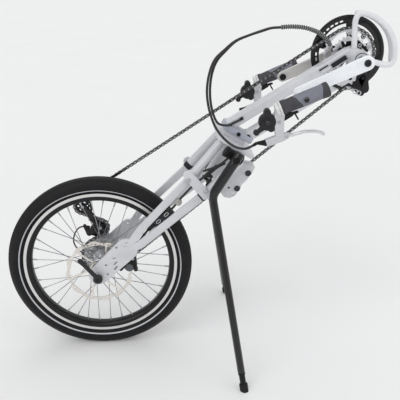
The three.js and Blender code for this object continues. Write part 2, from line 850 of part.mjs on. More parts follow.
function makeHoop(boom) {
  const arc = (y, fromAngle, toAngle) => {
    const points = [];
    const stepCount = Math.round(Math.abs(fromAngle - toAngle) / hoopStepAngle);
    for (let i = 0; i <= stepCount; i += 1) {
      const turn = fromAngle + ((toAngle - fromAngle) * i) / stepCount;
      points.push(vector(shift(bracketFromHub, turn, hoopRadius), y));
    }
    return points;
  };
  const legAt = (turn, reach) => vector(shift(bracketFromHub, turn, reach), 0);
  const root = shellRadius + gap;
  const near = [legAt(hoopStartAngle, root), legAt(hoopStartAngle, hoopRadius * hoopLegShare),
    legAt(hoopStartAngle, hoopRadius - 2 * hoopTubeRadius),
    ...arc(0, hoopStartAngle - hoopBendAngle, hoopEndAngle + hoopBendAngle),
    legAt(hoopEndAngle, hoopRadius - 2 * hoopTubeRadius), legAt(hoopEndAngle, hoopRadius * hoopLegShare),
    legAt(hoopEndAngle, root)];
  const far = arc(hoopFarOffset, hoopBarAngles[0], hoopBarAngles[2]);
  const bars = hoopBarAngles.map((turn) => pin(shift(bracketFromHub, turn, hoopRadius), 0, hoopFarOffset,
    hoopBarRadius, rodFacetCount));
  const nearTube = cut(swept(near, hoopTubeRadius, hoopNearStepCount),
    pin(bracketFromHub, -2 * hoopTubeRadius, 2 * hoopTubeRadius, shellRadius + gap, hubFacetCount));
  piece(boom, 'guard_hoop', join(nearTube, swept(far, hoopTubeRadius, hoopFarStepCount), ...bars), 'paint');
}

// Crankset, about the bracket axle

function makeCrankset(parent) {
  const set = groupAt(parent, bracketFromHub[0], 0, bracketFromHub[1] + hubHeight);
  const tip = shift([0, 0], crankAngle, crankReach);
  const inner = crankOffset - crankThickness / 2;
  const outer = inner + crankThickness;
  const nearEnd = -outer - gap - crankCapDepth;
  const axle = join(pin([0, 0], -outer, outer, crankAxleRadius, hubFacetCount),
    pin([0, 0], nearEnd, -outer - gap, crankCapRadius, hubFacetCount),
    pin([0, 0], -outer - 2 * gap, -outer + gap, crankCapStemRadius, hubFacetCount),
    pin([0, 0], outer + gap, -nearEnd, crankCapRadius, hubFacetCount),
    pin([0, 0], outer - gap, outer + 2 * gap, crankCapStemRadius, hubFacetCount));
  piece(set, 'crank_axle', axle, 'black');
  for (const [word, side] of [['left', -1], ['right', 1]]) {
    const [low, high] = side > 0 ? [inner, outer] : [-outer, -inner];
    const arm = plate(strap([0, 0], crankRootRadius, tip, crankTipRadius), low, high);
    const bores = [pin([0, 0], low - overrun, high + overrun, crankAxleRadius + gap, hubFacetCount),
      pin(tip, low - overrun, high + overrun, handleAxleRadius + gap)];
    piece(set, `crank_arm_${word}`, cut(arm, ...bores), 'paint');
    makeHandle(set, word, side, tip);
  }
  const arms = [];
  for (let i = 0; i < spiderArmCount; i += 1) {
    const turn = (i * 360) / spiderArmCount + spiderFirstAngle;
    arms.push(plate(strap([0, 0], spiderArmHalfWidth, shift([0, 0], turn, boltCircleRadius),
      spiderArmHalfWidth),
      spiderOffset - spiderThickness / 2, spiderOffset + spiderThickness / 2));
    arms.push(pin(shift([0, 0], turn, boltCircleRadius), chainLine + ringThickness / 2 + gap,
      guardOffset - guardThickness / 2 - gap, spiderBoltRadius, smallFacetCount));
  }
  const hub = pin([0, 0], shellRightEnd + 2 * gap, spiderOffset + spiderThickness, spiderHubRadius,
    hubFacetCount);
  const bore = pin([0, 0], 0, crankOffset, crankAxleRadius + gap, hubFacetCount);
  const smallRing = plate(circle([0, 0], tipRadius(smallRingToothCount), wheelFacetCount / 2),
    smallRingOffset - ringThickness / 2, smallRingOffset + ringThickness / 2);
  piece(set, 'chainring_spider', cut(join(hub, ...arms, smallRing), bore), 'black');
  piece(set, 'chainring', plate(sprocket(ringToothCount), chainLine - ringThickness / 2,
    chainLine + ringThickness / 2, [circle([0, 0], ringBoreRadius, hubFacetCount)]), 'silver');
  piece(set, 'ring_guard', makeGuard(), 'black');
  return set;
}

function makeGuard() {
  const low = guardOffset - guardThickness / 2;
  const high = guardOffset + guardThickness / 2;
  const ring = plate(circle([0, 0], guardRadius, wheelFacetCount), low, high,
    [circle([0, 0], guardBoreRadius, wheelFacetCount)]);
  const tabs = [];
  for (let i = 0; i < spiderArmCount; i += 1) {
    const turn = (i * 360) / spiderArmCount + spiderFirstAngle;
    tabs.push(plate(strap(shift([0, 0], turn, boltCircleRadius), guardTabHalfWidth,
      shift([0, 0], turn, guardBoreRadius + guardTabHalfWidth / 2), guardTabRootHalfWidth), low, high));
  }
  return join(ring, ...tabs);
}

// Handle: axle, grip, bracket with the lever body, brake lever, shifter and shift lever

function makeHandle(set, word, side, tip) {
  const inner = crankOffset - crankThickness / 2;
  const outer = inner + crankThickness;
  const nutStart = handleOffset + gripHighRadius + gap;
  const across = (low, high, radius) => rod(vector([0, 0], side * low), vector([0, 0], side * high), radius);
  const axle = join(across(inner - gap, nutStart + gap, handleAxleRadius),
    across(inner - gap - handleNutDepth, inner - gap, handleNutRadius),
    across(outer + gap, outer + gap + handleNutDepth, handleNutRadius),
    across(nutStart, nutStart + handleNutDepth, handleNutRadius));
  const handle = groupAt(set, tip[0], 0, tip[1]);
  const y = side * handleOffset;
  const lowEnd = shift([0, 0], gripAngle, -gripLength / 2);
  const highEnd = shift([0, 0], gripAngle, gripLength / 2);
  const bandEnd = shift(lowEnd, gripAngle, gripBandLength);
  const grip = join(rod(vector(lowEnd, y), vector(highEnd, y), gripLowRadius, gripFacetCount,
    gripHighRadius),
    rod(vector(lowEnd, y), vector(bandEnd, y), gripLowRadius + gripLip, gripFacetCount));
  const drill = pin([0, 0], y - 2 * gripHighRadius, y + 2 * gripHighRadius, handleAxleRadius + gap);
  piece(handle, `handle_axle_${word}`, axle, 'steel');
  piece(handle, `grip_${word}`, cut(grip, drill), 'grey');
  makeControls(handle, word, y, lowEnd);
}

// The controls hang below the grip's low end
function makeControls(handle, word, y, lowEnd) {
  const collarStart = shift(lowEnd, gripAngle, -gap);
  const collarEnd = shift(collarStart, gripAngle, -collarThickness);
  const collarRadius = gripLowRadius + collarLift;
  const root = between(collarStart, collarEnd, 1 / 2);
  const elbow = shift(shift(root, armAngle, elbowReach), armAngle - 90, armBow);
  const foot = shift(root, armAngle, armReach);
  const armPlates = (room) => [
    plate(strap(root, armHalfWidth + room, elbow, elbowHalfWidth + room), y - armHalfDepth - room,
      y + armHalfDepth + room),
    plate(strap(elbow, elbowHalfWidth + room, foot, armFootHalfWidth + room), y - armHalfDepth - room,
      y + armHalfDepth + room)];
  const bodyTail = shift(foot, leverBodyAngle, -leverBodyTail);
  const bodyNose = shift(foot, leverBodyAngle, leverBodyNose);
  const pivot = shift(bodyNose, leverBodyAngle, leverPivotReach);
  const earEnd = leverEarHalfWidth + leverEarWall;
  const slotEnd = leverEarHalfWidth + gap;
  const ear = plate(strap(between(bodyTail, bodyNose, leverEarShare), leverEarRadius, pivot, leverEarRadius),
    y - earEnd, y + earEnd);
  const slot = plate(barOutline(between(bodyTail, bodyNose, leverSlotShare), shift(pivot, leverBodyAngle,
    2 * leverBodyRadius), 2 * leverBodyRadius), y - slotEnd, y + slotEnd);
  const gripRoom = rod(vector(collarStart, y), vector(shift(lowEnd, gripAngle, gripLength), y),
    gripHighRadius + 2 * collarLift, gripFacetCount);
  const bracket = cut(join(rod(vector(collarStart, y), vector(collarEnd, y), collarRadius, gripFacetCount),
    ...armPlates(0), rod(vector(bodyTail, y), vector(bodyNose, y), leverBodyRadius), ear), slot, gripRoom);
  const hinge = pin(pivot, y - earEnd + gap, y + earEnd - gap, leverPivotRadius, rodFacetCount);
  piece(handle, `control_bracket_${word}`, join(bracket, hinge), 'silver');

  const route = [pivot, ...leverShares.map(([along, up]) => shift(shift(pivot, leverAngle,
    leverReach * along),
    leverAngle + 90, leverReach * up))];
  const blade = swept(route.map((point) => vector(point, y)), leverRadius, leverStepCount);
  const eye = pin(pivot, y - leverEarHalfWidth, y + leverEarHalfWidth, leverEyeRadius);
  const eyeBore = pin(pivot, y - earEnd - overrun, y + earEnd + overrun, leverPivotRadius + gap,
    rodFacetCount);
  piece(handle, `brake_lever_${word}`, cut(join(blade, eye), eyeBore), 'silver');

  const shifterAt = shift(elbow, armAngle - 90, shifterReach);
  const housing = plate(circle(shifterAt, shifterRadius, gripFacetCount), y - shifterHalfWidth,
    y + shifterHalfWidth);
  const hubEnd = shifterHalfWidth + shifterHubStand;
  const hub = pin(shifterAt, y - hubEnd, y + hubEnd, shifterHubRadius);
  const collarRoom = rod(vector(collarStart, y), vector(shift(collarEnd, gripAngle, -gap), y),
    collarRadius + gap,
    gripFacetCount);
  piece(handle, `shifter_${word}`, cut(join(housing, hub), ...armPlates(gap), collarRoom), 'black');

  const side = Math.sign(y);
  const faces = [y + side * (shifterHalfWidth + gap), y + side * (shifterHalfWidth + gap +
    shiftArmThickness)];
  const knobAt = shift(shifterAt, shiftLeverAngle, shiftReach);
  const arm = plate(strap(shifterAt, shiftArmRootRadius, knobAt, shiftArmRadius), Math.min(...faces),
    Math.max(...faces));
  const knob = rod(vector(knobAt, y + side * shiftKnobInset), vector(knobAt, faces[1]), shiftKnobRadius,
    rodFacetCount);
  const bore = pin(shifterAt, y - 2 * shifterRadius, y + 2 * shifterRadius, shifterHubRadius + gap);
  piece(handle, `shift_lever_${word}`, cut(join(arm, knob), bore), 'black');
}

// Chain: a band around ring, pulleys and cog on its pitch line

function tangent(a, b) {
  const across = Math.asin((a.hand * a.radius - b.hand * b.radius) / distance(a.at, b.at));
  return heading(a.at, b.at) + THREE.MathUtils.radToDeg(across);
}

function beltOutline(offset) {
  const stops = [
    { at: bracketFromHub, radius: pitchRadius(ringToothCount), hand: 1 },
    { at: tensionPulleyFromHub, radius: pitchRadius(pulleyToothCount), hand: 1 },
    { at: guidePulleyFromHub, radius: pitchRadius(pulleyToothCount), hand: -1 },
    { at: [0, 0], radius: pitchRadius(cogToothCounts[0]), hand: 1 },
  ];
  const outline = [];
  stops.forEach((stop, i) => {
    const before = tangent(stops[(i + stops.length - 1) % stops.length], stop) - stop.hand * 90;
    let after = tangent(stop, stops[(i + 1) % stops.length]) - stop.hand * 90;
    while ((after - before) * stop.hand < 0) after += stop.hand * 360;
    while ((after - before) * stop.hand > 360) after -= stop.hand * 360;
    const stepCount = Math.max(3, Math.round(Math.abs(after - before) / chainStepAngle));
    for (let k = 0; k <= stepCount; k += 1) {
      outline.push(shift(stop.at, before + ((after - before) * k) / stepCount, stop.radius +
        stop.hand * offset));
    }
  });
  return outline;
}

function makeChain(parent) {
  const drive = groupAt(parent, 0, 0, hubHeight);
  const band = plate(beltOutline(chainHalfDepth), chainLine - chainHalfWidth, chainLine + chainHalfWidth,
    [beltOutline(-chainHalfDepth).reverse()]);
  piece(drive, 'chain', band, 'chain');
  for (const [word, at] of [['guide', guidePulleyFromHub], ['tension', tensionPulleyFromHub]]) {
    const wheel = plate(circle(at, tipRadius(pulleyToothCount), hubFacetCount),
      chainLine - pulleyThickness / 2,
      chainLine + pulleyThickness / 2, [circle(at, pulleyAxleRadius + gap, rodFacetCount)]);
    piece(drive, `${word}_pulley`, wheel, 'black');
  }
  const sides = [-1, 1].map((side) => {
    const from = chainLine + side * cageHalfGap;
    const to = from + side * cageThickness;
    return plate(strap(guidePulleyFromHub, cageRadius, tensionPulleyFromHub, cageRadius),
      Math.min(from, to), Math.max(from, to));
  });
  const reach = cageHalfGap + cageThickness;
  const axles = [guidePulleyFromHub, tensionPulleyFromHub].map((at) => pin(at, chainLine - reach,
    chainLine + reach,
    pulleyAxleRadius, rodFacetCount));
  piece(drive, 'derailleur_cage', join(...sides, ...axles), 'black');

  const low = chainLine + reach + gap;
  const high = dropoutOffset - dropoutThickness / 2 - gap;
  const body = pin(guidePulleyFromHub, low, high, derailleurBodyRadius, hubFacetCount);
  const cogRoom = pin([0, 0], low - overrun, high + overrun, pitchRadius(cogToothCounts[1]) + runningRoom,
    wheelFacetCount);
  const box = plate(strap(shift(guidePulleyFromHub, derailleurBoxAngle, derailleurBoxReach),
    derailleurBoxRadius,
    guidePulleyFromHub, derailleurBoxRadius), low + 2 * gap, high);
  piece(drive, 'rear_derailleur', cut(join(body, box), cogRoom), 'black');
  return drive;
}

// Front derailleur: a cage round the chain's lower run and a body on the bracket web

function makeFrontDerailleur(parent) {
  const mech = groupAt(parent, 0, 0, hubHeight);
  const run = tangent({ at: [0, 0], radius: pitchRadius(cogToothCounts[0]), hand: 1 },
    { at: bracketFromHub, radius: pitchRadius(ringToothCount), hand: 1 });
  const meet = shift(bracketFromHub, run - 90, pitchRadius(ringToothCount));
  const middle = shift(meet, run, -shiftCageSetback);
  const inside = chainHalfWidth + shiftCageRoom;
  const reach = inside + cageThickness;
  const ends = [shift(middle, run, -shiftCageLength / 2), shift(middle, run, shiftCageLength / 2)];
  const under = ends.map((point) => shift(point, run - 90, shiftCageHeight / 2 - cageThickness));
  const parts = [plate(barOutline(...ends, shiftCageHeight / 2), chainLine - reach, chainLine - inside),
    plate(barOutline(...ends, shiftCageHeight / 2), chainLine + inside, chainLine + reach),
    plate(barOutline(...under, cageThickness), chainLine - reach, chainLine + reach)];
  const backs = [shiftBodyOffset, chainLine - inside];
  const bodyAt = shift(webFootFromHub, shiftBodyAngle, shiftBodyReach);
  parts.push(plate(strap(bodyAt, shiftBodyRadius, shift(bodyAt, shiftHornAngle, shiftHornReach), cageRadius),
    ...backs));
  parts.push(plate(strap(bodyAt, shiftBodyRadius, shift(bodyAt, shiftTailAngle, shiftTailReach),
    shiftTailRadius),
    ...backs));
  parts.push(plate(barOutline(webFootFromHub, bodyAt, shiftTailRadius), railWidth / 2 + gap, backs[1]));
  const runs = [chainLine - chainHalfWidth - runningRoom / 2, chainLine + chainHalfWidth + runningRoom / 2];
  const past = 3 * shiftCageLength;
  const webEnd = shift(webFootFromHub, heading(bracketFromHub, webFootFromHub), gap);
  const rooms = [
    pin(bracketFromHub, smallRingOffset - ringThickness, guardOffset, pitchRadius(ringToothCount),
    wheelFacetCount),
    plate(circle(bracketFromHub, pitchRadius(ringToothCount) + chainHalfDepth + runningRoom,
    wheelFacetCount), ...runs),
    plate(barOutline(shift(meet, run, -past), shift(meet, run, past), chainHalfDepth + runningRoom),
    ...runs),
    plate(barOutline(bracketFromHub, webEnd, webHalfDepth + gap), -railWidth / 2 - gap, railWidth / 2 +
    gap)];
  piece(mech, 'front_derailleur', cut(join(...parts), ...rooms), 'black');
}

// Axle with its locknuts, release lever and brake caliper

function makeAxleFittings(parent) {
  const hub = groupAt(parent, 0, 0, hubHeight);
  const inner = dropoutOffset - dropoutThickness / 2 - gap;
  const outer = dropoutOffset + dropoutThickness / 2 + gap;
  const leftNut = pin([0, 0], -inner, -hubLeftEnd - gap, locknutRadius);
  const rightNut = pin([0, 0], inner - cogThickness + gap, inner, locknutRadius);
  const shaft = pin([0, 0], -skewerEnd, skewerEnd, axleRadius);
  const farCap = pin([0, 0], outer, skewerEnd, skewerNutRadius);
  const nearCap = pin([0, 0], -skewerEnd, -outer, skewerNutRadius);
  piece(hub, 'hub_axle', join(shaft, leftNut, rightNut, farCap, nearCap), 'steel');

  const leverLow = -releaseOffset - releaseHalfWidth;
  const leverHigh = -skewerEnd - gap;
  const knob = pin([0, 0], leverLow, leverHigh, releaseHubRadius, hubFacetCount);
  const blade = plate(strap([0, 0], releaseRootRadius, releaseTipFromHub, releaseTipRadius),
    leverLow, leverLow + releaseHalfWidth);
  piece(hub, 'release_lever', join(knob, blade), 'black');

  const middle = -rotorOffset;
  const face = -dropoutOffset - dropoutThickness / 2 - gap;
  const backFace = -dropoutOffset + dropoutThickness / 2 + gap;
  const body = pin(caliperFromHub, middle - caliperHalfWidth, middle + caliperHalfWidth, caliperRadius,
    hubFacetCount);
  const slotHalf = (rotorThickness + caliperSlot) / 2;
  const slot = pin([0, 0], middle - slotHalf, middle + slotHalf, rotorRadius + runningRoom, wheelFacetCount);
  const tab = plate(strap(caliperFromHub, caliperTabRadius, caliperFootFromHub, caliperTabRadius), backFace,
    middle - slotHalf);
  const arm = plate(strap(caliperFromHub, caliperTabRadius, caliperArmFromHub, caliperArmRadius), backFace,
    middle - slotHalf);
  const plateRoom = plate(strap([0, 0], hubBossRadius + 2 * gap, dropoutKneeFromHub, dropoutKneeRadius +
    2 * gap),
    face, backFace);
  const mountRoom = plate(strap(dropoutKneeFromHub, dropoutKneeRadius * mountShare + gap, caliperFootFromHub,
    caliperEarRadius + gap), face, backFace);
  piece(hub, 'brake_caliper', cut(join(body, tab, arm), slot, plateRoom, mountRoom), 'black');
}

// Docking unit: the steering head with its web, two plates and their bolts

function makeDock(parent) {
  const dock = groupAt(parent, 0, 0, hubHeight);
  const tubeEnds = [vector(steerPoint(headLowEnd), 0), vector(steerPoint(headHighEnd), 0)];
  const half = dockPlateGap / 2;
  const inner = half - gap;
  const outer = half + dockPlateThickness;
  const corners = dockCornersFromHub;
  const web = plate([steerPoint(headLowEnd + dockWebInset), corners[11], corners[10], corners[9], corners[7],
    corners[5], corners[3], steerPoint(dockWebTop, dockWebReach), steerPoint(dockWebTop)], -inner, inner);
  const bore = rod(vector(steerPoint(headLowEnd - overrun), 0), vector(steerPoint(headHighEnd + overrun), 0),
    steererRadius + gap, hubFacetCount);
  const parts = [rod(...tubeEnds, headRadius, hubFacetCount), web];
  for (const point of dockBoltsFromHub) {
    parts.push(pin(point, -outer - dockBoltHeadDepth, outer + dockBoltHeadDepth, dockBoltRadius,
      rodFacetCount));
    for (const side of [-1, 1]) {
      const base = side * (outer + gap);
      parts.push(rod(vector(point, base), vector(point, base + side * dockBoltHeadDepth), dockBoltHeadRadius,
        rodFacetCount));
    }
  }
  piece(dock, 'steering_head', cut(join(...parts), bore), 'silver');
  const tubeRoom = rod(...tubeEnds, headRadius + gap, hubFacetCount);
  for (const [word, side] of [['left', -1], ['right', 1]]) {
    const [low, high] = side > 0 ? [half, outer] : [-outer, -half];
    const holes = dockBoltsFromHub.map((point) => circle(point, dockBoltRadius + gap, rodFacetCount));
    holes.push(circle(dockHoleFromHub, dockHoleRadius, rodFacetCount));
    piece(dock, `dock_plate_${word}`, cut(plate(corners, low, high, holes), tubeRoom), 'silver');
  }
}

// Stand: a clamp barrel, a bent leg and its rubber foot on each side

function makeStand(parent) {
  const stand = groupAt(parent, 0, 0, hubHeight);
  for (const [word, side] of [['left', -1], ['right', 1]]) {
    const at = (point, y) => vector(point, side * y);
    const pinEnd = standOffset + standTubeRadius + gap;
    const barrelEnds = [at(barrelFrontFromHub, barrelOffset), at(barrelRearFromHub, barrelOffset)];
    const barrel = join(rod(...barrelEnds, barrelRadius, gripFacetCount),
      rod(at(standPivotFromHub, barrelOffset), at(standPivotFromHub, pinEnd), standPinRadius),
      rod(at(standPivotFromHub, pinEnd), at(standPivotFromHub, pinEnd + pinHeadDepth), pinHeadRadius,
      rodFacetCount));
    piece(stand, `stand_barrel_${word}`, cut(barrel, aboveCrown()), 'black');

    const top = shift(standPivotFromHub, heading(standBendFromHub, standPivotFromHub), standTopLength);
    const bend = at(standBendFromHub, standOffset);
    const ground = at(standFootFromHub, standFootOffset);
    const way = new THREE.Vector3().subVectors(ground, bend).normalize();
    const along = (reach) => ground.clone().addScaledVector(way, reach);
    const elbow = new THREE.SphereGeometry(standTubeRadius, tubeFacetCount, smallFacetCount);
    elbow.translate(bend.x, bend.y, bend.z);
    const eye = rod(at(standPivotFromHub, standOffset - standTubeRadius),
      at(standPivotFromHub, standOffset + standTubeRadius), standEyeRadius);
    const leg = join(rod(at(top, standOffset), bend, standTubeRadius), elbow, eye,
      rod(bend, along(-standInnerLength), standLowerRadius),
      rod(along(-standInnerLength - overrun), along(-footLength - gap), standInnerRadius));
    const bore = rod(at(standPivotFromHub, 0), at(standPivotFromHub, standFootOffset), standPinRadius + gap);
    const roomRadius = Math.hypot(distance(standPivotFromHub, barrelFrontFromHub), barrelRadius) + gap;
    const barrelRoom = rod(at(standPivotFromHub, 0), at(standPivotFromHub, barrelOffset + barrelRadius +
      gap),
      roomRadius, wheelFacetCount);
    piece(stand, `stand_leg_${word}`, cut(leg, bore, barrelRoom), 'black');
    const floor = new THREE.BoxGeometry(standFootOffset, standFootOffset, hubHeight);
    floor.translate(ground.x, ground.y, -hubHeight - hubHeight / 2);
    piece(stand, `stand_foot_${word}`, cut(rod(along(-footLength), along(footLength), footRadius), floor),
      'rubber');
  }
}

// Control cables: routes are hand-chosen points from the hub, [x, y, z]

const handleCableRoute = [
  [394, -170, 385], [384, -168, 378], [368, -160, 369], [348, -148, 370], [332, -138, 378], [318, -130, 390],
  [304, -120, 408], [295, -112, 428], [287, -102, 456], [284, -92, 492], [290, -84, 530], [303, -76, 560],
  [325, -68, 580], [352, -60, 600], [385, -52, 612], [415, -43, 620], [440, -34, 626], [462, -30, 627],
];
const frameCableRoute = [
  [462, -26, 627], [440, -31, 626], [415, -37, 620], [386, -44, 611], [355, -52, 599], [330, -59, 578],
  [309, -66, 556], [297, -74, 528], [292, -80, 492], [294, -84, 458], [301, -82, 430], [312, -70, 408],
  [330, -52, 397], [345, -36, 394], [356, -25, 396], [368, -22.8, 401], [380, -22.8, 408],
];
const wrapRoute = [
  [463, -28, 627], [476, -26, 628], [496, -24, 628], [518, -21, 626], [538, -18, 621], [556, -14, 614],
  [572, -9, 604], [585, -4, 592], [593, 0, 581],
];
const derailleurCableRoute = [
  [64, 79, 52], [40, 82, 28], [28, 88, 2], [4, 92, -22], [-36, 91, -26], [-68, 86, -8], [-84, 80, 22],
  [-80, 74, 52], [-66, 67, 75], [-54, 62, 82], [-44, 60, 83], [-38, 60, 81.6], [-32.8, 60, 80.2],
];
const brakeHoseRoute = [
  [312, -57, 296], [292, -58, 279], [274, -60, 262], [258, -61, 250], [240, -62, 232], [220, -62, 210],
  [198, -62, 183], [172, -62, 159], [151, -62, 140], [135, -55, 122], [119, -51, 100], [104, -50, 78], [99,
  -50, 67],
];

function routePoints(route) {
  return route.map(([x, y, z]) => new THREE.Vector3(x, y, z));
}

// The guide block between the left fork tubes, with the brake hose that runs through it
function makeHose(cables) {
  const way = (heading(upperFootFromHub, upperJointFromHub) + heading(lowerFootFromHub,
    lowerJointFromHub)) / 2;
  const y = -blockOffset;
  const a = shift(blockFromHub, way, -blockLength / 2);
  const b = shift(blockFromHub, way, blockLength / 2);
  const slots = blockSlotShares.map((share) => {
    const middle = shift(blockFromHub, way, share * blockLength);
    return plate(strap(shift(middle, way, -blockSlotHalfLength), blockSlotHeight / 2,
      shift(middle, way, blockSlotHalfLength), blockSlotHeight / 2), y - blockWidth, y + blockWidth);
  });
  const block = cut(plate(barOutline(a, b, blockHeight / 2), y - blockWidth / 2, y + blockWidth / 2),
    ...slots);
  const hose = swept(routePoints(brakeHoseRoute), housingRadius, hoseStepCount, cordFacetCount);
  piece(cables, 'brake_hose', join(block, hose), 'black');
}

// The ribbed wrap: a plain bore inside a skin whose rings swell and narrow
function ribbedTube(points) {
  const path = new THREE.CatmullRomCurve3(points, false, 'centripetal');
  const positions = [];
  const index = [];
  const ringAt = (share, frames, i, radius) => {
    const centre = path.getPointAt(share);
    for (let k = 0; k < wrapFacetCount; k += 1) {
      const turn = (2 * Math.PI * k) / wrapFacetCount;
      const place = centre.clone().addScaledVector(frames.normals[i], radius * Math.cos(turn))
        .addScaledVector(frames.binormals[i], radius * Math.sin(turn));
      positions.push(place.x, place.y, place.z);
    }
  };
  const skin = (rings, flip) => {
    for (let i = 0; i + 1 < rings.length; i += 1) {
      for (let k = 0; k < wrapFacetCount; k += 1) {
        const next = (k + 1) % wrapFacetCount;
        const [a, b, c, d] = [rings[i] + k, rings[i] + next, rings[i + 1] + next, rings[i + 1] + k];
        if (flip) index.push(a, c, b, a, d, c);
        else index.push(a, b, c, a, c, d);
      }
    }
  };
  const ringCount = 2 * wrapRibCount + 1;
  const frames = path.computeFrenetFrames(ringCount - 1, false);
  const outer = [];
  const inner = [];
  for (let i = 0; i < ringCount; i += 1) {
    outer.push(positions.length / 3);
    ringAt(i / (ringCount - 1), frames, i, i % 2 ? wrapRadius : wrapRootRadius);
  }
  for (let i = 0; i < ringCount; i += 2 * wrapRibsPerBoreRing) {
    inner.push(positions.length / 3);
    ringAt(i / (ringCount - 1), frames, i, wrapBoreRadius);
  }
  if ((ringCount - 1) % (2 * wrapRibsPerBoreRing)) {
    inner.push(positions.length / 3);
    ringAt(1, frames, ringCount - 1, wrapBoreRadius);
  }
  skin(outer, false);
  skin(inner, true);
  skin([inner[0], outer[0]], false);
  skin([outer[outer.length - 1], inner[inner.length - 1]], false);
  const geometry = new THREE.BufferGeometry();
  geometry.setAttribute('position', new THREE.Float32BufferAttribute(positions, 3));
  geometry.setIndex(index);
  return geometry;
}

function makeCables(parent) {
  const cables = groupAt(parent, 0, 0, hubHeight);
  const cord = (route, stepCount) => swept(routePoints(route), housingRadius, stepCount, cordFacetCount);
  piece(cables, 'control_cables', join(cord(handleCableRoute, handleCableStepCount),
    cord(frameCableRoute, frameCableStepCount)), 'black');
  piece(cables, 'cable_wrap', ribbedTube(routePoints(wrapRoute)), 'black');
  piece(cables, 'derailleur_cable', cord(derailleurCableRoute, derailleurCableStepCount), 'black');
  makeHose(cables);
}

// The whole handcycle, moved so that the origin lies under the middle of its bounding box

const handcycle = new THREE.Group();
const assembly = groupAt(handcycle, 0, 0, 0);
makeWheel(assembly);
makeCassette(assembly);
makeFork(assembly);
makeCrown(assembly);
makeBoom(assembly);
makeCrankset(assembly);
makeChain(assembly);
makeFrontDerailleur(assembly);
makeAxleFittings(assembly);
makeDock(assembly);
makeStand(assembly);
makeCables(assembly);
const extent = new THREE.Box3().setFromObject(assembly);
assembly.position.x = -(extent.min.x + extent.max.x) / 2;

export default handcycle;
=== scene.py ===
"""Handcycle attachment standing on its wheel and stand legs.

Lengths in the tables are millimetres from the wheel axle, [x, y, z] or [x, z]; +X runs towards the cranks,
+Y towards the chain side and +Z up. `place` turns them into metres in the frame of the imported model.
"""

import math

import bmesh
import bpy
import numpy as np
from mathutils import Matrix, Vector


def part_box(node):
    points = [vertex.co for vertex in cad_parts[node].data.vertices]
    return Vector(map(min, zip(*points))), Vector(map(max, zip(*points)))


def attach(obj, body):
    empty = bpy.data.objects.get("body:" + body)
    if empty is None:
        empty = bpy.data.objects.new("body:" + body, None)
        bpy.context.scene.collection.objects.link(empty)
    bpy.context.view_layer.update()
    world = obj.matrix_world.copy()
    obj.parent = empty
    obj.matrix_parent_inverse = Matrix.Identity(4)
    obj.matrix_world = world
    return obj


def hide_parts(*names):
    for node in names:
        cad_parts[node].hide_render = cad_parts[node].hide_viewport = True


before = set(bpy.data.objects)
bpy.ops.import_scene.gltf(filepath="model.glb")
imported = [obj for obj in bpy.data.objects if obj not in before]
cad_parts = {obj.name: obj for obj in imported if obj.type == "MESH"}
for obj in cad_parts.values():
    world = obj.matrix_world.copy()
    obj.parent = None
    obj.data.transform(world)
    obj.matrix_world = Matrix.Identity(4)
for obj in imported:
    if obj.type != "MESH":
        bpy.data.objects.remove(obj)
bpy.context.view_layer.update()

bl_info = {
    "name": "Handcycle attachment",
    "version": (1, 0, 0),
    "blender": (4, 5, 0),
    "location": "View3D > Sidebar > Handcycle",
    "description": "Builds a hand-cranked front wheel unit, piece by piece",
    "category": "Add Mesh",
}

TAU = 2 * math.pi
WHEEL_LOW, WHEEL_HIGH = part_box("tyre")
HUB = np.array([(WHEEL_LOW.x + WHEEL_HIGH.x) * 500, 0.0, (WHEEL_LOW.z + WHEEL_HIGH.z) * 500])
BRACKET = np.array([654.0, 554.0])
GUIDE = np.array([-1.0, 88.0])
TENSION = np.array([-46.0, 152.0])
CHAIN_PITCH = 12.7
CHAIN_Y = 43.5
RING_TEETH, SMALL_RING_TEETH, LARGEST_COG_TEETH, PULLEY_TEETH = 32, 22, 28, 11
COG_STEP = 4.6
LEFT_RIGHT = (("left", -1), ("right", 1))
AXLE = (0, 0, 0)
MIDDLE = (0, 0)
CROWN_EDGE = ((319, 369), (391, 325))
STEERING_LEAN = 58.57
DROPOUT_Y = 72
KNEE = (76, 74)
HOOP_REACH = 102.5
CRANK_LENGTH, CRANK_ANGLE = 169, 203.3
SPIDER_ANGLES = range(18, 360, 72)
GRIP_Y, GRIP_LEAN, CLAMP_LEAN = 170, 22.3, 20
SPOKES, CROSSINGS = 18, 3
WRAP_RIBS = 27
LEG_Y, STAND_PIVOT, STAND_BEND = 98, np.array([356.0, 322.5]), np.array([299.0, 231.0])
GROUND = -250.0
SHEET_MERGE, PLATE_MERGE = 4e-6, 1e-6


# Sizes and colours that a user would change


class HandcycleWheelSizes(bpy.types.PropertyGroup):
    """Sizes of the tyre, its stripe, the spokes and the brake rotor's holes."""

    tyre_width: bpy.props.FloatProperty(
        name="Tyre width", description="Width of the tyre at its fullest", default=0.047, unit="LENGTH")
    stripe_radius: bpy.props.FloatProperty(
        name="Stripe radius", description="Radius of the reflective stripe on the sidewall", default=0.219,
        unit="LENGTH")
    spoke_thickness: bpy.props.FloatProperty(
        name="Spoke thickness", description="Diameter of one spoke", default=0.002, unit="LENGTH")
    rotor_hole: bpy.props.FloatProperty(
        name="Rotor hole", description="Radius of the round holes in the rotor's track", default=0.0024,
        unit="LENGTH")


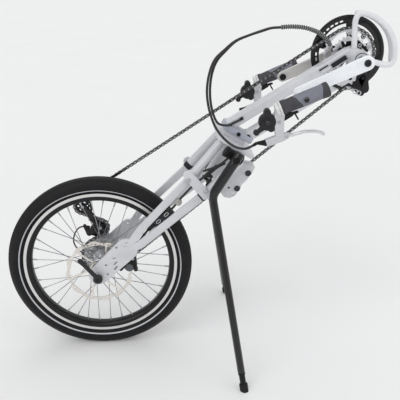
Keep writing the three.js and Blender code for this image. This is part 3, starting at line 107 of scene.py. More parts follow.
class HandcycleFrameSizes(bpy.types.PropertyGroup):
    """Sizes of the fork, boom, guard hoop and stand."""

    arm_rounding: bpy.props.FloatProperty(
        name="Arm rounding", description="Corner radius of the fork's flat arms", default=0.0028,
        unit="LENGTH")
    rail_rounding: bpy.props.FloatProperty(
        name="Rail rounding", description="Corner radius of the boom's box rails", default=0.0045,
        unit="LENGTH")
    plate_edge: bpy.props.FloatProperty(
        name="Plate edge", description="Rounding of the edges of cut plates", default=0.0012, unit="LENGTH")
    hoop_tube: bpy.props.FloatProperty(
        name="Hoop tube", description="Radius of the guard hoop's tube", default=0.007, unit="LENGTH")
    leg_tube: bpy.props.FloatProperty(
        name="Leg tube", description="Radius of a stand leg above its bend", default=0.0125, unit="LENGTH")


class HandcycleHandleSizes(bpy.types.PropertyGroup):
    """Sizes of the grips, levers and cables."""

    grip_waist: bpy.props.FloatProperty(
        name="Grip waist", description="Radius of the grip at its narrowest", default=0.0155, unit="LENGTH")
    grip_swell: bpy.props.FloatProperty(
        name="Grip swell", description="Radius of the grip at its fullest", default=0.018, unit="LENGTH")
    lever_thickness: bpy.props.FloatProperty(
        name="Lever thickness", description="Thickness of the brake lever's blade", default=0.009,
        unit="LENGTH")
    cable_thickness: bpy.props.FloatProperty(
        name="Cable thickness", description="Diameter of a cable's outer casing", default=0.006,
        unit="LENGTH")


class HandcycleColours(bpy.types.PropertyGroup):
    """Colours of the finishes."""

    paint: bpy.props.FloatVectorProperty(
        name="Paint", description="Silver-white paint of fork and boom", subtype="COLOR", size=3,
        default=(0.64, 0.645, 0.675), min=0, max=1)
    cover: bpy.props.FloatVectorProperty(
        name="Cover", description="Grey-blue of the crown's cover", subtype="COLOR", size=3,
        default=(0.40, 0.42, 0.49), min=0, max=1)
    alloy: bpy.props.FloatVectorProperty(
        name="Alloy", description="Bare alloy of levers and rings", subtype="COLOR", size=3,
        default=(0.80, 0.81, 0.82), min=0, max=1)
    docking: bpy.props.FloatVectorProperty(
        name="Docking plates", description="Pale blue-grey of the docking plates", subtype="COLOR", size=3,
        default=(0.66, 0.67, 0.69), min=0, max=1)
    black: bpy.props.FloatVectorProperty(
        name="Black", description="Anodised and painted black", subtype="COLOR", size=3,
        default=(0.009, 0.009, 0.010), min=0, max=1)
    grip: bpy.props.FloatVectorProperty(
        name="Grip", description="Grey-lilac middle of the grips", subtype="COLOR", size=3,
        default=(0.205, 0.21, 0.255), min=0, max=1)
    backdrop: bpy.props.FloatVectorProperty(
        name="Backdrop", description="Pale floor and backdrop", subtype="COLOR", size=3,
        default=(0.90, 0.90, 0.90), min=0, max=1)


# Placing


def place(points):
    """Millimetres from the wheel axle to metres in the frame."""
    return (np.asarray(points, float) + HUB) / 1000


def polar(centre, degrees, reach):
    """A point at an angle and distance from a centre, both [x, z]."""
    turn = np.radians(degrees)
    return np.stack([centre[0] + reach * np.cos(turn), centre[1] + reach * np.sin(turn)], axis=-1)


def lifted(point, y):
    """A point [x, z] at an offset along Y."""
    return np.array([point[0], y, point[1]], float)


def slant(degrees):
    """The direction at an angle in the middle plane, of length one."""
    return lifted(polar(MIDDLE, degrees, 1), 0)


def unit(vector):
    """A vector over its own length."""
    return vector / np.linalg.norm(vector)


def heading(a, b):
    """Direction from a to b in degrees, both [x, z]."""
    return math.degrees(math.atan2(b[1] - a[1], b[0] - a[0]))


def along(a, b, share):
    """The point that lies a share of the way from a to b."""
    a, b = np.asarray(a, float), np.asarray(b, float)
    return a + (b - a) * share


# Surfaces


def weave_mesh(name, sheets):
    """Joins sheets into one mesh. A sheet is a grid of points with whether it closes each way, and its end
    caps: every cell of the grid is one quad, and a cap is a fan onto the mean of its edge row."""
    points, quads, fans, uvs = [], [], [], []
    start = 0
    for grid, closed_u, closed_v, caps in sheets:
        rows, columns = grid.shape[:2]
        flat = grid.reshape(-1, 3)
        i = np.arange(rows if closed_u else rows - 1)
        k = np.arange(columns if closed_v else columns - 1)
        i, k = np.meshgrid(i, k, indexing="ij")
        j, n = (i + 1) % rows, (k + 1) % columns
        cells = np.stack([i * columns + k, i * columns + n, j * columns + n, j * columns + k], axis=-1)
        quads.append(cells.reshape(-1, 4) + start)
        u = np.stack([i, i, i + 1, i + 1], axis=-1) / max(rows - (not closed_u), 1)
        v = np.stack([k, k + 1, k + 1, k], axis=-1) / max(columns - (not closed_v), 1)
        uvs.append(np.stack([u, v], axis=-1).reshape(-1, 2))
        points.append(flat)
        count = len(flat)
        for cap in caps:
            edge = np.arange(columns) + (0 if cap == "first" else (rows - 1) * columns)
            points.append(flat[edge].mean(axis=0)[None])
            ring = np.stack([edge, np.roll(edge, -1), np.full(columns, count)], axis=-1)
            ring = ring[:, ::-1] if cap == "last" else ring
            fans.append(ring[:, ::-1] + start)
            count += 1
        start += count
    quads = np.concatenate(quads)
    fans = np.concatenate(fans) if fans else np.zeros((0, 3), int)
    mesh = bpy.data.meshes.new(name)
    mesh.from_pydata(np.concatenate(points), [], quads.tolist() + fans.tolist())
    layer = mesh.uv_layers.new(name="UVMap")
    flat_uv = np.concatenate([np.concatenate(uvs), np.zeros((3 * len(fans), 2))])
    layer.data.foreach_set("uv", flat_uv.astype(np.float32).ravel())
    mesh.update()
    turn_outwards(mesh, SHEET_MERGE)
    return mesh


def turn_outwards(mesh, reach):
    """Merges points nearer than reach and turns the faces of each closed shell outwards."""
    work = bmesh.new()
    work.from_mesh(mesh)
    bmesh.ops.remove_doubles(work, verts=work.verts, dist=reach)
    bmesh.ops.recalc_face_normals(work, faces=work.faces)
    work.to_mesh(mesh)
    work.free()


def turned(profile, centre, segments=48, axis=(0, 1, 0)):
    """A lathe surface: each profile row is [radius, reach along the axis], swung round the axis."""
    profile = np.asarray(profile, float)
    way = unit(np.asarray(axis, float))
    aside = unit(np.cross(way, (0, 0, 1.0) if abs(way[2]) < 0.9 else (1.0, 0, 0)))
    third = np.cross(way, aside)
    turn = np.arange(segments) / segments * TAU
    round_ = np.cos(turn)[:, None] * aside + np.sin(turn)[:, None] * third
    centre = np.asarray(centre, float)
    grid = centre + profile[None, :, 0, None] * round_[:, None] + profile[None, :, 1, None] * way
    return grid, True, False, ()


def ring_of(profile, centre, segments=48, axis=(0, 1, 0)):
    """A lathe surface whose profile is a closed loop."""
    return turned(profile, centre, segments, axis)[0], True, True, ()


def knob(profile, centre, segments=32, axis=(0, 1, 0)):
    """A lathe surface closed at both ends: its profile starts and ends on the axis."""
    profile = np.asarray(profile, float)
    whole = np.concatenate([[[0.0001, profile[0, 1]]], profile, [[0.0001, profile[-1, 1]]]])
    return turned(whole, centre, segments, axis)


def drum(centre, radius, low, high, edge=0.8, segments=32, axis=(0, 1, 0)):
    """A cylinder with its rims eased: the profile cuts each corner in two steps."""
    e = min(edge, (high - low) / 2.2, radius / 2)
    return knob([[radius - e, low], [radius - e * 0.3, low + e * 0.3], [radius, low + e],
                 [radius, high - e], [radius - e * 0.3, high - e * 0.3], [radius - e, high]],
                centre, segments, axis)


def bored(centre, outer, inner, low, high, edge=0.6, segments=32, axis=(0, 1, 0)):
    """A tube with eased rims, as a closed loop of [radius, reach] swung round the axis."""
    e = min(edge, (high - low) / 2.2, (outer - inner) / 2.2)
    return ring_of([[inner, low + e], [inner + e, low], [outer - e, low], [outer, low + e],
                    [outer, high - e], [outer - e, high], [inner + e, high], [inner, high - e]],
                   centre, segments, axis)


def hexagon(centre, across, low, high, axis=(0, 1, 0)):
    """A hexagonal prism with chamfered corners: a six-sided lathe surface."""
    r = across / 2 / math.cos(math.pi / 6)
    e = min(1.0, (high - low) / 3)
    return knob([[r - e, low], [r, low + e], [r, high - e], [r - e, high]], centre, 6, axis)


def smooth_line(points, steps):
    """A smooth curve through points: on each span, the cubic blend of the four nearest points."""
    p = np.asarray(points, float)
    p = np.concatenate([[2 * p[0] - p[1]], p, [2 * p[-1] - p[-2]]])
    knots = np.concatenate([[0], np.cumsum(np.sqrt(np.linalg.norm(np.diff(p, axis=0), axis=1)))])
    t = np.linspace(knots[1], knots[-2], steps)
    i = np.clip(np.searchsorted(knots, t, side="right") - 1, 1, len(p) - 3)
    k0, k1, k2, k3 = (knots[i + d][:, None] for d in (-1, 0, 1, 2))
    p0, p1, p2, p3 = (p[i + d] for d in (-1, 0, 1, 2))
    t = t[:, None]
    a1 = (k1 - t) / (k1 - k0) * p0 + (t - k0) / (k1 - k0) * p1
    a2 = (k2 - t) / (k2 - k1) * p1 + (t - k1) / (k2 - k1) * p2
    a3 = (k3 - t) / (k3 - k2) * p2 + (t - k2) / (k3 - k2) * p3
    b1 = (k2 - t) / (k2 - k0) * a1 + (t - k0) / (k2 - k0) * a2
    b2 = (k3 - t) / (k3 - k1) * a2 + (t - k1) / (k3 - k1) * a3
    return (k2 - t) / (k2 - k1) * b1 + (t - k1) / (k2 - k1) * b2


def resample(points, steps):
    """The same line with its points evenly spaced by length."""
    p = np.asarray(points, float)
    length = np.concatenate([[0], np.cumsum(np.linalg.norm(np.diff(p, axis=0), axis=1))])
    t = np.linspace(0, length[-1], steps)
    return np.stack([np.interp(t, length, p[:, c]) for c in range(3)], axis=-1)


def axes_along(line, up):
    """Two directions across a line at each point: the first is `up` made square to the line's run."""
    way = np.gradient(line, axis=0)
    way /= np.linalg.norm(way, axis=1)[:, None]
    first = np.asarray(up, float) - (way @ np.asarray(up, float))[:, None] * way
    first /= np.linalg.norm(first, axis=1)[:, None]
    return first, np.cross(way, first)


def carried(section, line, scale=None, up=(0, 1, 0)):
    """A section carried along a line: each [a, b] of it goes a along `up` and b across both."""
    section, line = np.asarray(section, float), np.asarray(line, float)
    first, second = axes_along(line, up)
    grow = np.ones((len(line), 1)) if scale is None else np.asarray(scale, float).reshape(len(line), -1)
    wide = grow[:, :1, None]
    tall = grow[:, -1:, None]
    grid = (line[:, None] + section[None, :, 0, None] * wide * first[:, None]
            + section[None, :, 1, None] * tall * second[:, None])
    return grid, False, True, ("first", "last")


def round_section(radius, sides=16):
    """Points round a circle."""
    turn = np.arange(sides) / sides * TAU
    return np.stack([radius * np.cos(turn), radius * np.sin(turn)], axis=-1)


def box_section(wide, tall, corner, steps=4):
    """A rectangle whose corners are quarter circles."""
    turn = np.linspace(0, math.pi / 2, steps)
    arc = np.stack([np.cos(turn), np.sin(turn)], axis=-1) * corner
    w, t = wide / 2 - corner, tall / 2 - corner
    quarter = [np.array([w, t]), np.array([-w, t]), np.array([-w, -t]), np.array([w, -t])]
    rows = []
    for turn_count, centre in enumerate(quarter):
        c, s = math.cos(turn_count * math.pi / 2), math.sin(turn_count * math.pi / 2)
        rows.append(centre + arc @ np.array([[c, s], [-s, c]]))
    return np.concatenate(rows)


def eased_bar(a, b, section, edge=1.0):
    """A straight bar whose two ends shrink by `edge` over the last stretch, like a filed end."""
    a, b = np.asarray(a, float), np.asarray(b, float)
    way = unit(b - a)
    line = np.array([a, a + way * edge * 0.3, a + way * edge, b - way * edge, b - way * edge * 0.3, b])
    size = np.abs(np.asarray(section)).max(axis=0)
    less = np.array([[1 - edge / s for s in size], [1 - edge * 0.3 / s for s in size], [1, 1]])
    return carried(section, line, np.concatenate([less, less[::-1]]))


def circle(centre, radius, steps=24):
    """Points round a centre, [x, z]."""
    return polar(centre, np.arange(steps) * 360 / steps, radius)


def strap_outline(a, radius_a, b, radius_b, steps=10):
    """The outline round two circles, each of its own radius."""
    way = heading(a, b)
    lean = math.degrees(math.acos((radius_a - radius_b) / math.dist(a, b)))
    return np.concatenate([polar(b, way + np.linspace(-lean, lean, steps), radius_b),
                           polar(a, way + np.linspace(lean, 360 - lean, steps), radius_a)])


def strap(a, radius_a, b, radius_b, steps, low, high, edge=0.8, holes=()):
    """A plate round two circles, cut from low to high along Y."""
    return cut_plate(strap_outline(a, radius_a, b, radius_b, steps), low, high, holes, edge)


def slot_outline(centre, degrees, length, radius, steps=8):
    """A slot with round ends, centred and turned."""
    half = max(length / 2 - radius, 0.01)
    return strap_outline(polar(centre, degrees, -half), radius, polar(centre, degrees, half), radius, steps)


def rounded_outline(corners, radius, steps=5):
    """A polygon with each corner cut by a curve that bends from one edge to the next."""
    p = np.asarray(corners, float)
    before, after = np.roll(p, 1, axis=0), np.roll(p, -1, axis=0)
    d0 = np.linalg.norm(before - p, axis=1)[:, None]
    d1 = np.linalg.norm(after - p, axis=1)[:, None]
    cut = np.minimum(radius, np.minimum(d0, d1) * 0.45)
    a, b = p + (before - p) / d0 * cut, p + (after - p) / d1 * cut
    t = np.linspace(0, 1, steps)[None, :, None]
    curve = (1 - t) ** 2 * a[:, None] + 2 * (1 - t) * t * p[:, None] + t ** 2 * b[:, None]
    return curve.reshape(-1, 2)


def cut_plate(outline, low, high, holes=(), edge=0.8):
    """A plate in the XZ plane: a filled curve, thickened along Y with rounded edges, as points and faces."""
    curve = bpy.data.curves.new("plate", "CURVE")
    curve.dimensions, curve.fill_mode = "2D", "BOTH"
    e = min(edge, (high - low) / 2.5)
    curve.extrude = (high - low) / 2 - e
    curve.bevel_depth, curve.bevel_resolution, curve.offset = e, 1, -e
    for loop in (outline, *holes):
        loop = np.asarray(loop, float)
        spline = curve.splines.new("POLY")
        spline.points.add(len(loop) - 1)
        spline.points.foreach_set("co", np.column_stack(
            [loop, np.zeros(len(loop)), np.ones(len(loop))]).astype(np.float32).ravel())
        spline.use_cyclic_u = True
    helper = bpy.data.objects.new("plate", curve)
    bpy.context.scene.collection.objects.link(helper)
    shape = helper.evaluated_get(bpy.context.evaluated_depsgraph_get()).to_mesh()
    count = len(shape.vertices)
    flat = np.zeros(count * 3, np.float32)
    shape.vertices.foreach_get("co", flat)
    flat = flat.reshape(-1, 3)
    faces = [tuple(face.vertices) for face in shape.polygons]
    helper.to_mesh_clear()
    bpy.data.objects.remove(helper)
    bpy.data.curves.remove(curve)
    middle = (low + high) / 2
    return np.stack([flat[:, 0], middle - flat[:, 2], flat[:, 1]], axis=-1), faces


def piece(name, shade, body, parts, replaces=(), smooth_angle=30):
    """One finished object. Parts are sheets, or plates as (points, faces), in millimetres from the axle."""
    sheets = [part for part in parts if len(part) == 4]
    meshes = []
    if sheets:
        meshes.append(weave_mesh(name, [(place(s[0]), *s[1:]) for s in sheets]))
    for points, faces in (part for part in parts if len(part) == 2):
        mesh = bpy.data.meshes.new(name)
        mesh.from_pydata(place(points), [], faces)
        mesh.uv_layers.new(name="UVMap")
        turn_outwards(mesh, PLATE_MERGE)
        meshes.append(mesh)
    mesh = meshes[0]
    if len(meshes) > 1:
        mesh = gather(name, meshes)
    mesh.name = name
    mesh.materials.clear()
    mesh.materials.append(SHADES[shade])
    made = bpy.data.objects.new(name, mesh)
    bpy.context.scene.collection.objects.link(made)
    mesh.shade_smooth()
    mesh.set_sharp_from_angle(angle=math.radians(smooth_angle))
    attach(made, body)
    if replaces:
        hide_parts(*replaces)


def gather(name, meshes):
    """Several meshes as one, with their UV maps."""
    work = bmesh.new()
    for mesh in meshes:
        work.from_mesh(mesh)
    whole = bpy.data.meshes.new(name)
    work.to_mesh(whole)
    work.free()
    for mesh in meshes:
        bpy.data.meshes.remove(mesh)
    return whole


# Materials


class Wire:
    """A shader socket that takes part in sums: each sum adds one Math node."""

    def __init__(self, bench, socket):
        self.bench, self.socket = bench, socket

    def __add__(self, other):
        return self.bench.math("ADD", self, other)

    __radd__ = __add__

    def __sub__(self, other):
        return self.bench.math("SUBTRACT", self, other)

    def __rsub__(self, other):
        return self.bench.math("SUBTRACT", other, self)

    def __mul__(self, other):
        return self.bench.math("MULTIPLY", self, other)

    __rmul__ = __mul__

    def __pow__(self, other):
        return self.bench.math("POWER", self, other)


class Bench:
    """One material and its node tree, with the object's own coordinates at hand."""

    def __init__(self, name):
        self.material = bpy.data.materials.new(name)
        self.material.use_nodes = True
        self.nodes, self.links = self.material.node_tree.nodes, self.material.node_tree.links
        self.shader = self.nodes["Principled BSDF"]
        self.spot = self.add("ShaderNodeTexCoord", output="Object")

    def add(self, kind, settings=None, values=None, output=0):
        """Adds a node: its settings first, then its values or wires."""
        node = self.nodes.new(kind)
        for key, value in (settings or {}).items():
            setattr(node, key, value)
        for key, value in (values or {}).items():
            self.set(node.inputs[key], value)
        return Wire(self, node.outputs[output])

    def set(self, socket, value):
        """Links a wire to a socket, or writes a plain value on it."""
        if isinstance(value, Wire):
            self.links.new(value.socket, socket)
        elif hasattr(value, "__len__") and len(value) == 3 and socket.type == "RGBA":
            socket.default_value = (*value, 1)
        else:
            socket.default_value = value

    def math(self, operation, *values):
        """A Math node on wires or numbers."""
        return self.add("ShaderNodeMath", {"operation": operation}, dict(enumerate(values)))

    def split(self, vector):
        """The three parts of a vector or of a spot on the UV map."""
        first = self.add("ShaderNodeSeparateXYZ", None, {0: vector})
        return [Wire(self, part) for part in first.socket.node.outputs]

    def noise(self, scale, detail=3.0, spot=None, roughness=0.55):
        """Cloudy noise from 0 to 1; scale is in features per metre."""
        return self.add("ShaderNodeTexNoise", None, {
            "Vector": spot or self.spot, "Scale": scale, "Detail": detail, "Roughness": roughness})

    def rings(self, wave, detail):
        """Noise from 0 to 1 that changes along one value only."""
        return self.add("ShaderNodeTexNoise", {"noise_dimensions": "1D"}, {
            "W": wave, "Scale": 1.0, "Detail": detail})

    def stretched(self, x, y, z):
        """The object's coordinates, scaled apart along each axis."""
        return self.add("ShaderNodeMapping", None, {"Vector": self.spot, "Scale": (x, y, z)})

    def ramp(self, factor, low, high, a=0.0, b=1.0):
        """A factor spread from low..high to a..b, and held beyond."""
        return self.add("ShaderNodeMapRange", {"clamp": True}, {
            "Value": factor, "From Min": low, "From Max": high, "To Min": a, "To Max": b})

    def mix(self, factor, a, b):
        """Colour a where the factor is 0 and colour b where it is 1."""
        return self.add("ShaderNodeMix", {"data_type": "RGBA"}, {0: factor, 6: a, 7: b}, 2)

    def bump(self, height, distance, strength=1.0):
        """Raises the surface by a height map."""
        self.set(self.shader.inputs["Normal"], self.add("ShaderNodeBump", None, {
            "Height": height, "Distance": distance, "Strength": strength}))

    def finish(self, color, roughness, metallic=0.0, coat=None, **sockets):
        """Sets the shader's sockets: a wire where a value varies, a number where it doesn't."""
        self.set(self.shader.inputs["Base Color"], color)
        self.set(self.shader.inputs["Roughness"], roughness)
        self.set(self.shader.inputs["Metallic"], metallic)
        if coat is not None:
            self.shader.inputs["Coat Weight"].default_value = coat
            self.shader.inputs["Coat Roughness"].default_value = 0.12
        for key, value in sockets.items():
            self.set(self.shader.inputs[key.replace("_", " ")], value)
        return self.material

    def from_hub(self):
        """Distance from the wheel's axis, in metres, and the offset along the axle."""
        x, y, z = self.split(self.spot)
        x, z = x - float(HUB[0] / 1000), z - float(HUB[2] / 1000)
        return (x * x + z * z) ** 0.5, y


def tone(color, share):
    """A colour made lighter (above 1) or darker (below 1)."""
    return tuple(min(1.0, c * share) for c in color)


def paint_finish(name, color, rough=0.34, metallic=0.0, coat=0.35, grime=0.12):
    """Sprayed paint: soft unevenness, fine orange peel, and a little dust that dulls the gloss."""
    b = Bench(name)
    cloud = b.noise(18, 4)
    dust = b.ramp(b.noise(70, 5), 0.52, 0.78)
    base = b.mix(b.ramp(cloud, 0.35, 0.7), tone(color, 0.95), tone(color, 1.04))
    worn = b.mix(dust * grime, base, (0.36, 0.35, 0.34))
    b.bump(b.noise(900, 2) * 0.6 + b.noise(260, 2) * 0.4, 0.00006, 0.5)
    return b.finish(worn, b.ramp(dust, 0, 1, rough, rough + 0.16), metallic, coat)


def brushed_finish(name, color, grain=(1, 60, 60), rough=0.3, coat=0.0):
    """Brushed or machined metal: streaks along one way, with cloudy tarnish."""
    b = Bench(name)
    streak = b.noise(30, 4, b.stretched(*grain), 0.7)
    cloud = b.ramp(b.noise(25, 4), 0.4, 0.75)
    base = b.mix(b.ramp(streak, 0.3, 0.72), tone(color, 0.84), tone(color, 1.08))
    dull = b.mix(cloud * 0.25, base, tone(color, 0.62))
    b.bump(streak, 0.00005, 0.4)
    return b.finish(dull, b.ramp(streak, 0.3, 0.7, rough - 0.05, rough + 0.14) + cloud * 0.06, 1.0,
                    coat or None)


def spun_finish(name, color, rough=0.28):
    """Metal turned round the wheel's axle: rings of fine tool marks."""
    b = Bench(name)
    radius, _ = b.from_hub()
    ring = b.rings(radius * 900, 3.0)
    cloud = b.ramp(b.noise(40, 3), 0.4, 0.8)
    base = b.mix(b.ramp(ring, 0.3, 0.7), tone(color, 0.82), tone(color, 1.06))
    b.bump(ring, 0.00004, 0.4)
    return b.finish(b.mix(cloud * 0.3, base, tone(color, 0.6)), b.ramp(ring, 0.3, 0.7, rough, rough + 0.14),
                    1.0)


def black_metal(name, color, rough=0.36, worn=0.25, coat=None):
    """Anodised or enamelled black: fine speckle, greyer where it is handled."""
    b = Bench(name)
    rub = b.ramp(b.noise(60, 5, None, 0.65), 0.56, 0.8)
    speck = b.noise(1400, 2)
    base = b.mix(rub * worn, color, (0.09, 0.09, 0.1))
    b.bump(speck, 0.00003, 0.5)
    return b.finish(base, b.ramp(speck, 0.3, 0.7, rough, rough + 0.12) - rub * 0.06, 0.0, coat,
                    Specular_IOR_Level=0.22)


def moulded_plastic(name, color, rough=0.5, grain=1100, depth=0.00008):
    """Moulded plastic with a spark-eroded grain, shinier on worn patches."""
    b = Bench(name)
    cell = b.add("ShaderNodeTexVoronoi", {"feature": "F1"}, {"Vector": b.spot, "Scale": grain})
    rub = b.ramp(b.noise(45, 4), 0.5, 0.78)
    base = b.mix(b.ramp(b.noise(120, 3), 0.35, 0.7), tone(color, 0.86), tone(color, 1.16))
    b.bump(cell, depth, 0.5)
    return b.finish(base, b.ramp(rub, 0, 1, rough + 0.08, rough - 0.12), Specular_IOR_Level=0.34)


def rubber_finish(name, color, rough=0.72):
    """Rubber: a matte black with a grey bloom and fine pits."""
    b = Bench(name)
    bloom = b.ramp(b.noise(35, 5), 0.48, 0.8)
    base = b.mix(bloom * 0.4, color, (0.04, 0.039, 0.038))
    b.bump(b.noise(1300, 3), 0.0001, 0.6)
    return b.finish(base, b.ramp(bloom, 0, 1, rough, rough + 0.15), Specular_IOR_Level=0.25)


def tyre_finish(name, stripe):
    """The tyre: a slick crown with shallow tread cuts, a ribbed shoulder and a pale reflective stripe."""
    b = Bench(name)
    radius, y = b.from_hub()
    side = b.ramp(radius, 0.236, 0.24)
    u, _, _ = b.split(b.add("ShaderNodeUVMap"))
    lean = b.math("ABSOLUTE", y) * 34.0
    cut = b.math("FRACT", u * 104 + lean)
    sipe = b.ramp(b.math("PINGPONG", cut, 0.5), 0.03, 0.1)
    flat = b.math("ABSOLUTE", y)
    middle = b.ramp(flat, 0.0018, 0.0026)
    groove = b.ramp(b.math("ABSOLUTE", flat - 0.0105), 0.0007, 0.0012)
    tread = side * (1 - sipe * middle * groove)
    band = b.ramp(b.math("ABSOLUTE", radius - stripe), 0.0013, 0.0017, 1, 0)
    rib = b.ramp(b.math("PINGPONG", radius * 1000, 3.2), 0.2, 0.8) * (1 - side)
    bloom = b.ramp(b.noise(30, 5), 0.46, 0.8)
    dust = b.mix(bloom * 0.45, (0.010, 0.010, 0.011), (0.030, 0.029, 0.030))
    base = b.mix(band * 0.9, dust, (0.62, 0.63, 0.66))
    b.bump(rib * 0.25 - tread + b.noise(1200, 2) * 0.12, 0.0007, 0.8)
    return b.finish(base, b.ramp(bloom, 0, 1, 0.6, 0.78) - band * 0.3, Specular_IOR_Level=0.22)


def rim_finish(name):
    """The rim: black gloss, with a machined silver track below its edge."""
    b = Bench(name)
    radius, y = b.from_hub()
    flat = b.math("ABSOLUTE", y)
    inner = b.ramp(radius, 0.2008, 0.2011)
    outer = b.ramp(radius, 0.2086, 0.2089, 1, 0)
    track = inner * outer * b.ramp(flat, 0.0128, 0.0132)
    ring = b.rings(radius * 1600, 2.0)
    dust = b.ramp(b.noise(50, 4), 0.5, 0.8)
    black = b.mix(dust * 0.12, (0.008, 0.008, 0.009), (0.05, 0.05, 0.05))
    silver = b.mix(b.ramp(ring, 0.3, 0.7), (0.66, 0.66, 0.65), (0.84, 0.83, 0.81))
    b.bump(ring * track, 0.00005, 0.5)
    return b.finish(b.mix(track, black, silver), b.ramp(track, 0, 1, 0.3, 0.36), track * 0.7,
                    Specular_IOR_Level=0.3)


def rotor_finish(name):
    """The rotor: stainless with turned rings on its track, and heat-browned a little."""
    b = Bench(name)
    radius, _ = b.from_hub()
    ring = b.rings(radius * 1400, 4.0)
    track = b.ramp(radius, 0.0755, 0.0765)
    warm = b.mix(b.ramp(b.noise(30, 3), 0.4, 0.7) * 0.5, (0.84, 0.79, 0.73), (0.90, 0.87, 0.82))
    base = b.mix(b.ramp(ring, 0.3, 0.75) * track, warm, (0.72, 0.68, 0.63))
    b.bump(ring * track, 0.00005, 0.5)
    return b.finish(base, b.ramp(ring, 0.2, 0.8, 0.24, 0.42), 1.0)


def chain_finish(name, color):
    """Oiled steel: dark film over bright rubbed places."""
    b = Bench(name)
    film = b.ramp(b.noise(220, 4), 0.4, 0.68)
    base = b.mix(film, tone(color, 1.4), tone(color, 0.35))
    b.bump(b.noise(900, 2), 0.00005, 0.5)
    return b.finish(base, b.ramp(film, 0, 1, 0.24, 0.46), 1.0)


def cable_finish(name, color):
    """A cable's plastic casing: satin black with faint rings from the wire under it."""
    b = Bench(name)
    u, _, _ = b.split(b.add("ShaderNodeUVMap"))
    wave = b.math("SINE", u * 1500)
    dust = b.ramp(b.noise(90, 4), 0.5, 0.8)
    b.bump(wave * 0.3 + b.noise(1200, 2), 0.00004, 0.5)
    return b.finish(b.mix(dust * 0.3, color, (0.08, 0.08, 0.08)), b.ramp(dust, 0, 1, 0.38, 0.55))


def wrap_finish(name):
    """Ribbed wrap: dark ribs over pale dusty valleys, on the same wave along the tube as its radius."""
    b = Bench(name)
    u, _, _ = b.split(b.add("ShaderNodeUVMap"))
    wave = b.math("COSINE", u * (WRAP_RIBS * TAU))
    valley = b.ramp(wave, -0.25, 0.45)
    dust = b.ramp(b.noise(90, 4), 0.4, 0.8)
    b.bump(b.noise(1400, 2), 0.00004, 0.5)
    color = b.mix(valley, (0.022, 0.022, 0.025), (0.27, 0.285, 0.28))
    return b.finish(b.mix(dust * 0.25, color, (0.12, 0.125, 0.12)), b.ramp(dust, 0, 1, 0.45, 0.6))


def grip_finish(name, color, dark):
    """A grip of two rubbers: a grey-lilac middle between charcoal ends, split along the handle."""
    b = Bench(name)
    u, v, _ = b.split(b.add("ShaderNodeUVMap"))
    wave = b.math("SINE", v * TAU + 0.6) * 0.075
    middle = b.ramp(u + wave, 0.31, 0.32) * b.ramp(u - wave * 0.6, 0.83, 0.84, 1, 0)
    dimple = b.add("ShaderNodeTexVoronoi", {"feature": "F1"}, {"Vector": b.spot, "Scale": 520.0})
    cloud = b.ramp(b.noise(60, 4), 0.42, 0.72)
    light = b.mix(cloud, tone(color, 0.9), tone(color, 1.1))
    deep = b.mix(cloud, dark, tone(dark, 1.5))
    b.bump(dimple, 0.00025, 0.6)
    return b.finish(b.mix(middle, deep, light), b.ramp(cloud, 0, 1, 0.62, 0.74))


def floor_finish(name, color):
    """The pale floor: even, with the faintest unevenness."""
    b = Bench(name)
    cloud = b.ramp(b.noise(1.2, 2), 0.3, 0.7)
    return b.finish(b.mix(cloud, tone(color, 0.985), color), 0.9, Specular_IOR_Level=0.0)


SHADES = {}


def make_shades(colours):
    """Every finish of the object, by its plain name."""
    black = tuple(colours.black)
    alloy = tuple(colours.alloy)
    SHADES.update({
        "tyre": tyre_finish("tyre_rubber", bpy.context.scene.handcycle_wheel.stripe_radius),
        "rim": rim_finish("rim_black_and_track"),
        "spoke": brushed_finish("spoke_steel", (0.34, 0.34, 0.36), (1, 1, 1), 0.25),
        "hub": spun_finish("hub_alloy", (0.70, 0.71, 0.73), 0.24),
        "rotor": rotor_finish("rotor_steel"),
        "cog": paint_finish("cog_steel", (0.46, 0.46, 0.47), 0.38, 0.3, 0.1),
        "paint": paint_finish("frame_paint", tuple(colours.paint)),
        # The near crank's paint is a lit copy of the white frame paint, pushed to near white: painted light.
        "crank_paint_painted_light": paint_finish("crank_paint_painted_light", (0.93, 0.95, 1.0), 0.4),
        # The far crank's paint is a grey-beige shaded copy of the same crank paint: painted shade.
        "far_crank_paint_painted_shade": paint_finish("far_crank_paint_painted_shade", (0.60, 0.585, 0.565), 0.42),
        "hoop_paint": paint_finish("hoop_paint", (0.80, 0.81, 0.83), 0.35),
        "cover": paint_finish("cover_paint", tuple(colours.cover), 0.38),
        "black": black_metal("black_anodised", black),
        "gloss_black": black_metal("gloss_black_enamel", black, 0.2, 0.15, 0.5),
        "plastic": moulded_plastic("black_plastic", (0.016, 0.016, 0.018)),
        "grip": grip_finish("grip_rubber", tuple(colours.grip), (0.042, 0.041, 0.048)),
        "alloy": brushed_finish("bare_alloy", alloy, (20, 20, 20), 0.26),
        "lever": brushed_finish("lever_alloy", tone(alloy, 0.98), (4, 60, 60), 0.24, 0.2),
        "ring": brushed_finish("ring_alloy", (0.88, 0.88, 0.90), (30, 2, 30), 0.3),
        "steel": brushed_finish("bolt_steel", (0.56, 0.57, 0.59), (30, 30, 30), 0.26),
        "dark_steel": brushed_finish("dark_bolt_steel", (0.08, 0.08, 0.09), (30, 30, 30), 0.32),
        "chain": chain_finish("chain_steel", (0.12, 0.12, 0.12)),
        "dock": paint_finish("dock_plate_blasted", tuple(colours.docking), 0.46, 0.1, 0.05),
        "wrap": wrap_finish("ribbed_wrap"),
        "rubber": rubber_finish("foot_rubber", (0.014, 0.014, 0.014)),
        "cable": cable_finish("cable_casing", (0.012, 0.012, 0.013)),
        "beige": moulded_plastic("beige_buffer", (0.36, 0.35, 0.33), 0.6),
        "grey_dial": moulded_plastic("grey_dial_plastic", (0.10, 0.11, 0.12), 0.5),
        "cast": paint_finish("cast_alloy_lacquer", (0.60, 0.61, 0.63), 0.3, 0.25, 0.4),
        "white": moulded_plastic("white_collar", (0.72, 0.72, 0.72), 0.45),
        "floor": floor_finish("pale_floor", tuple(colours.backdrop)),
    })


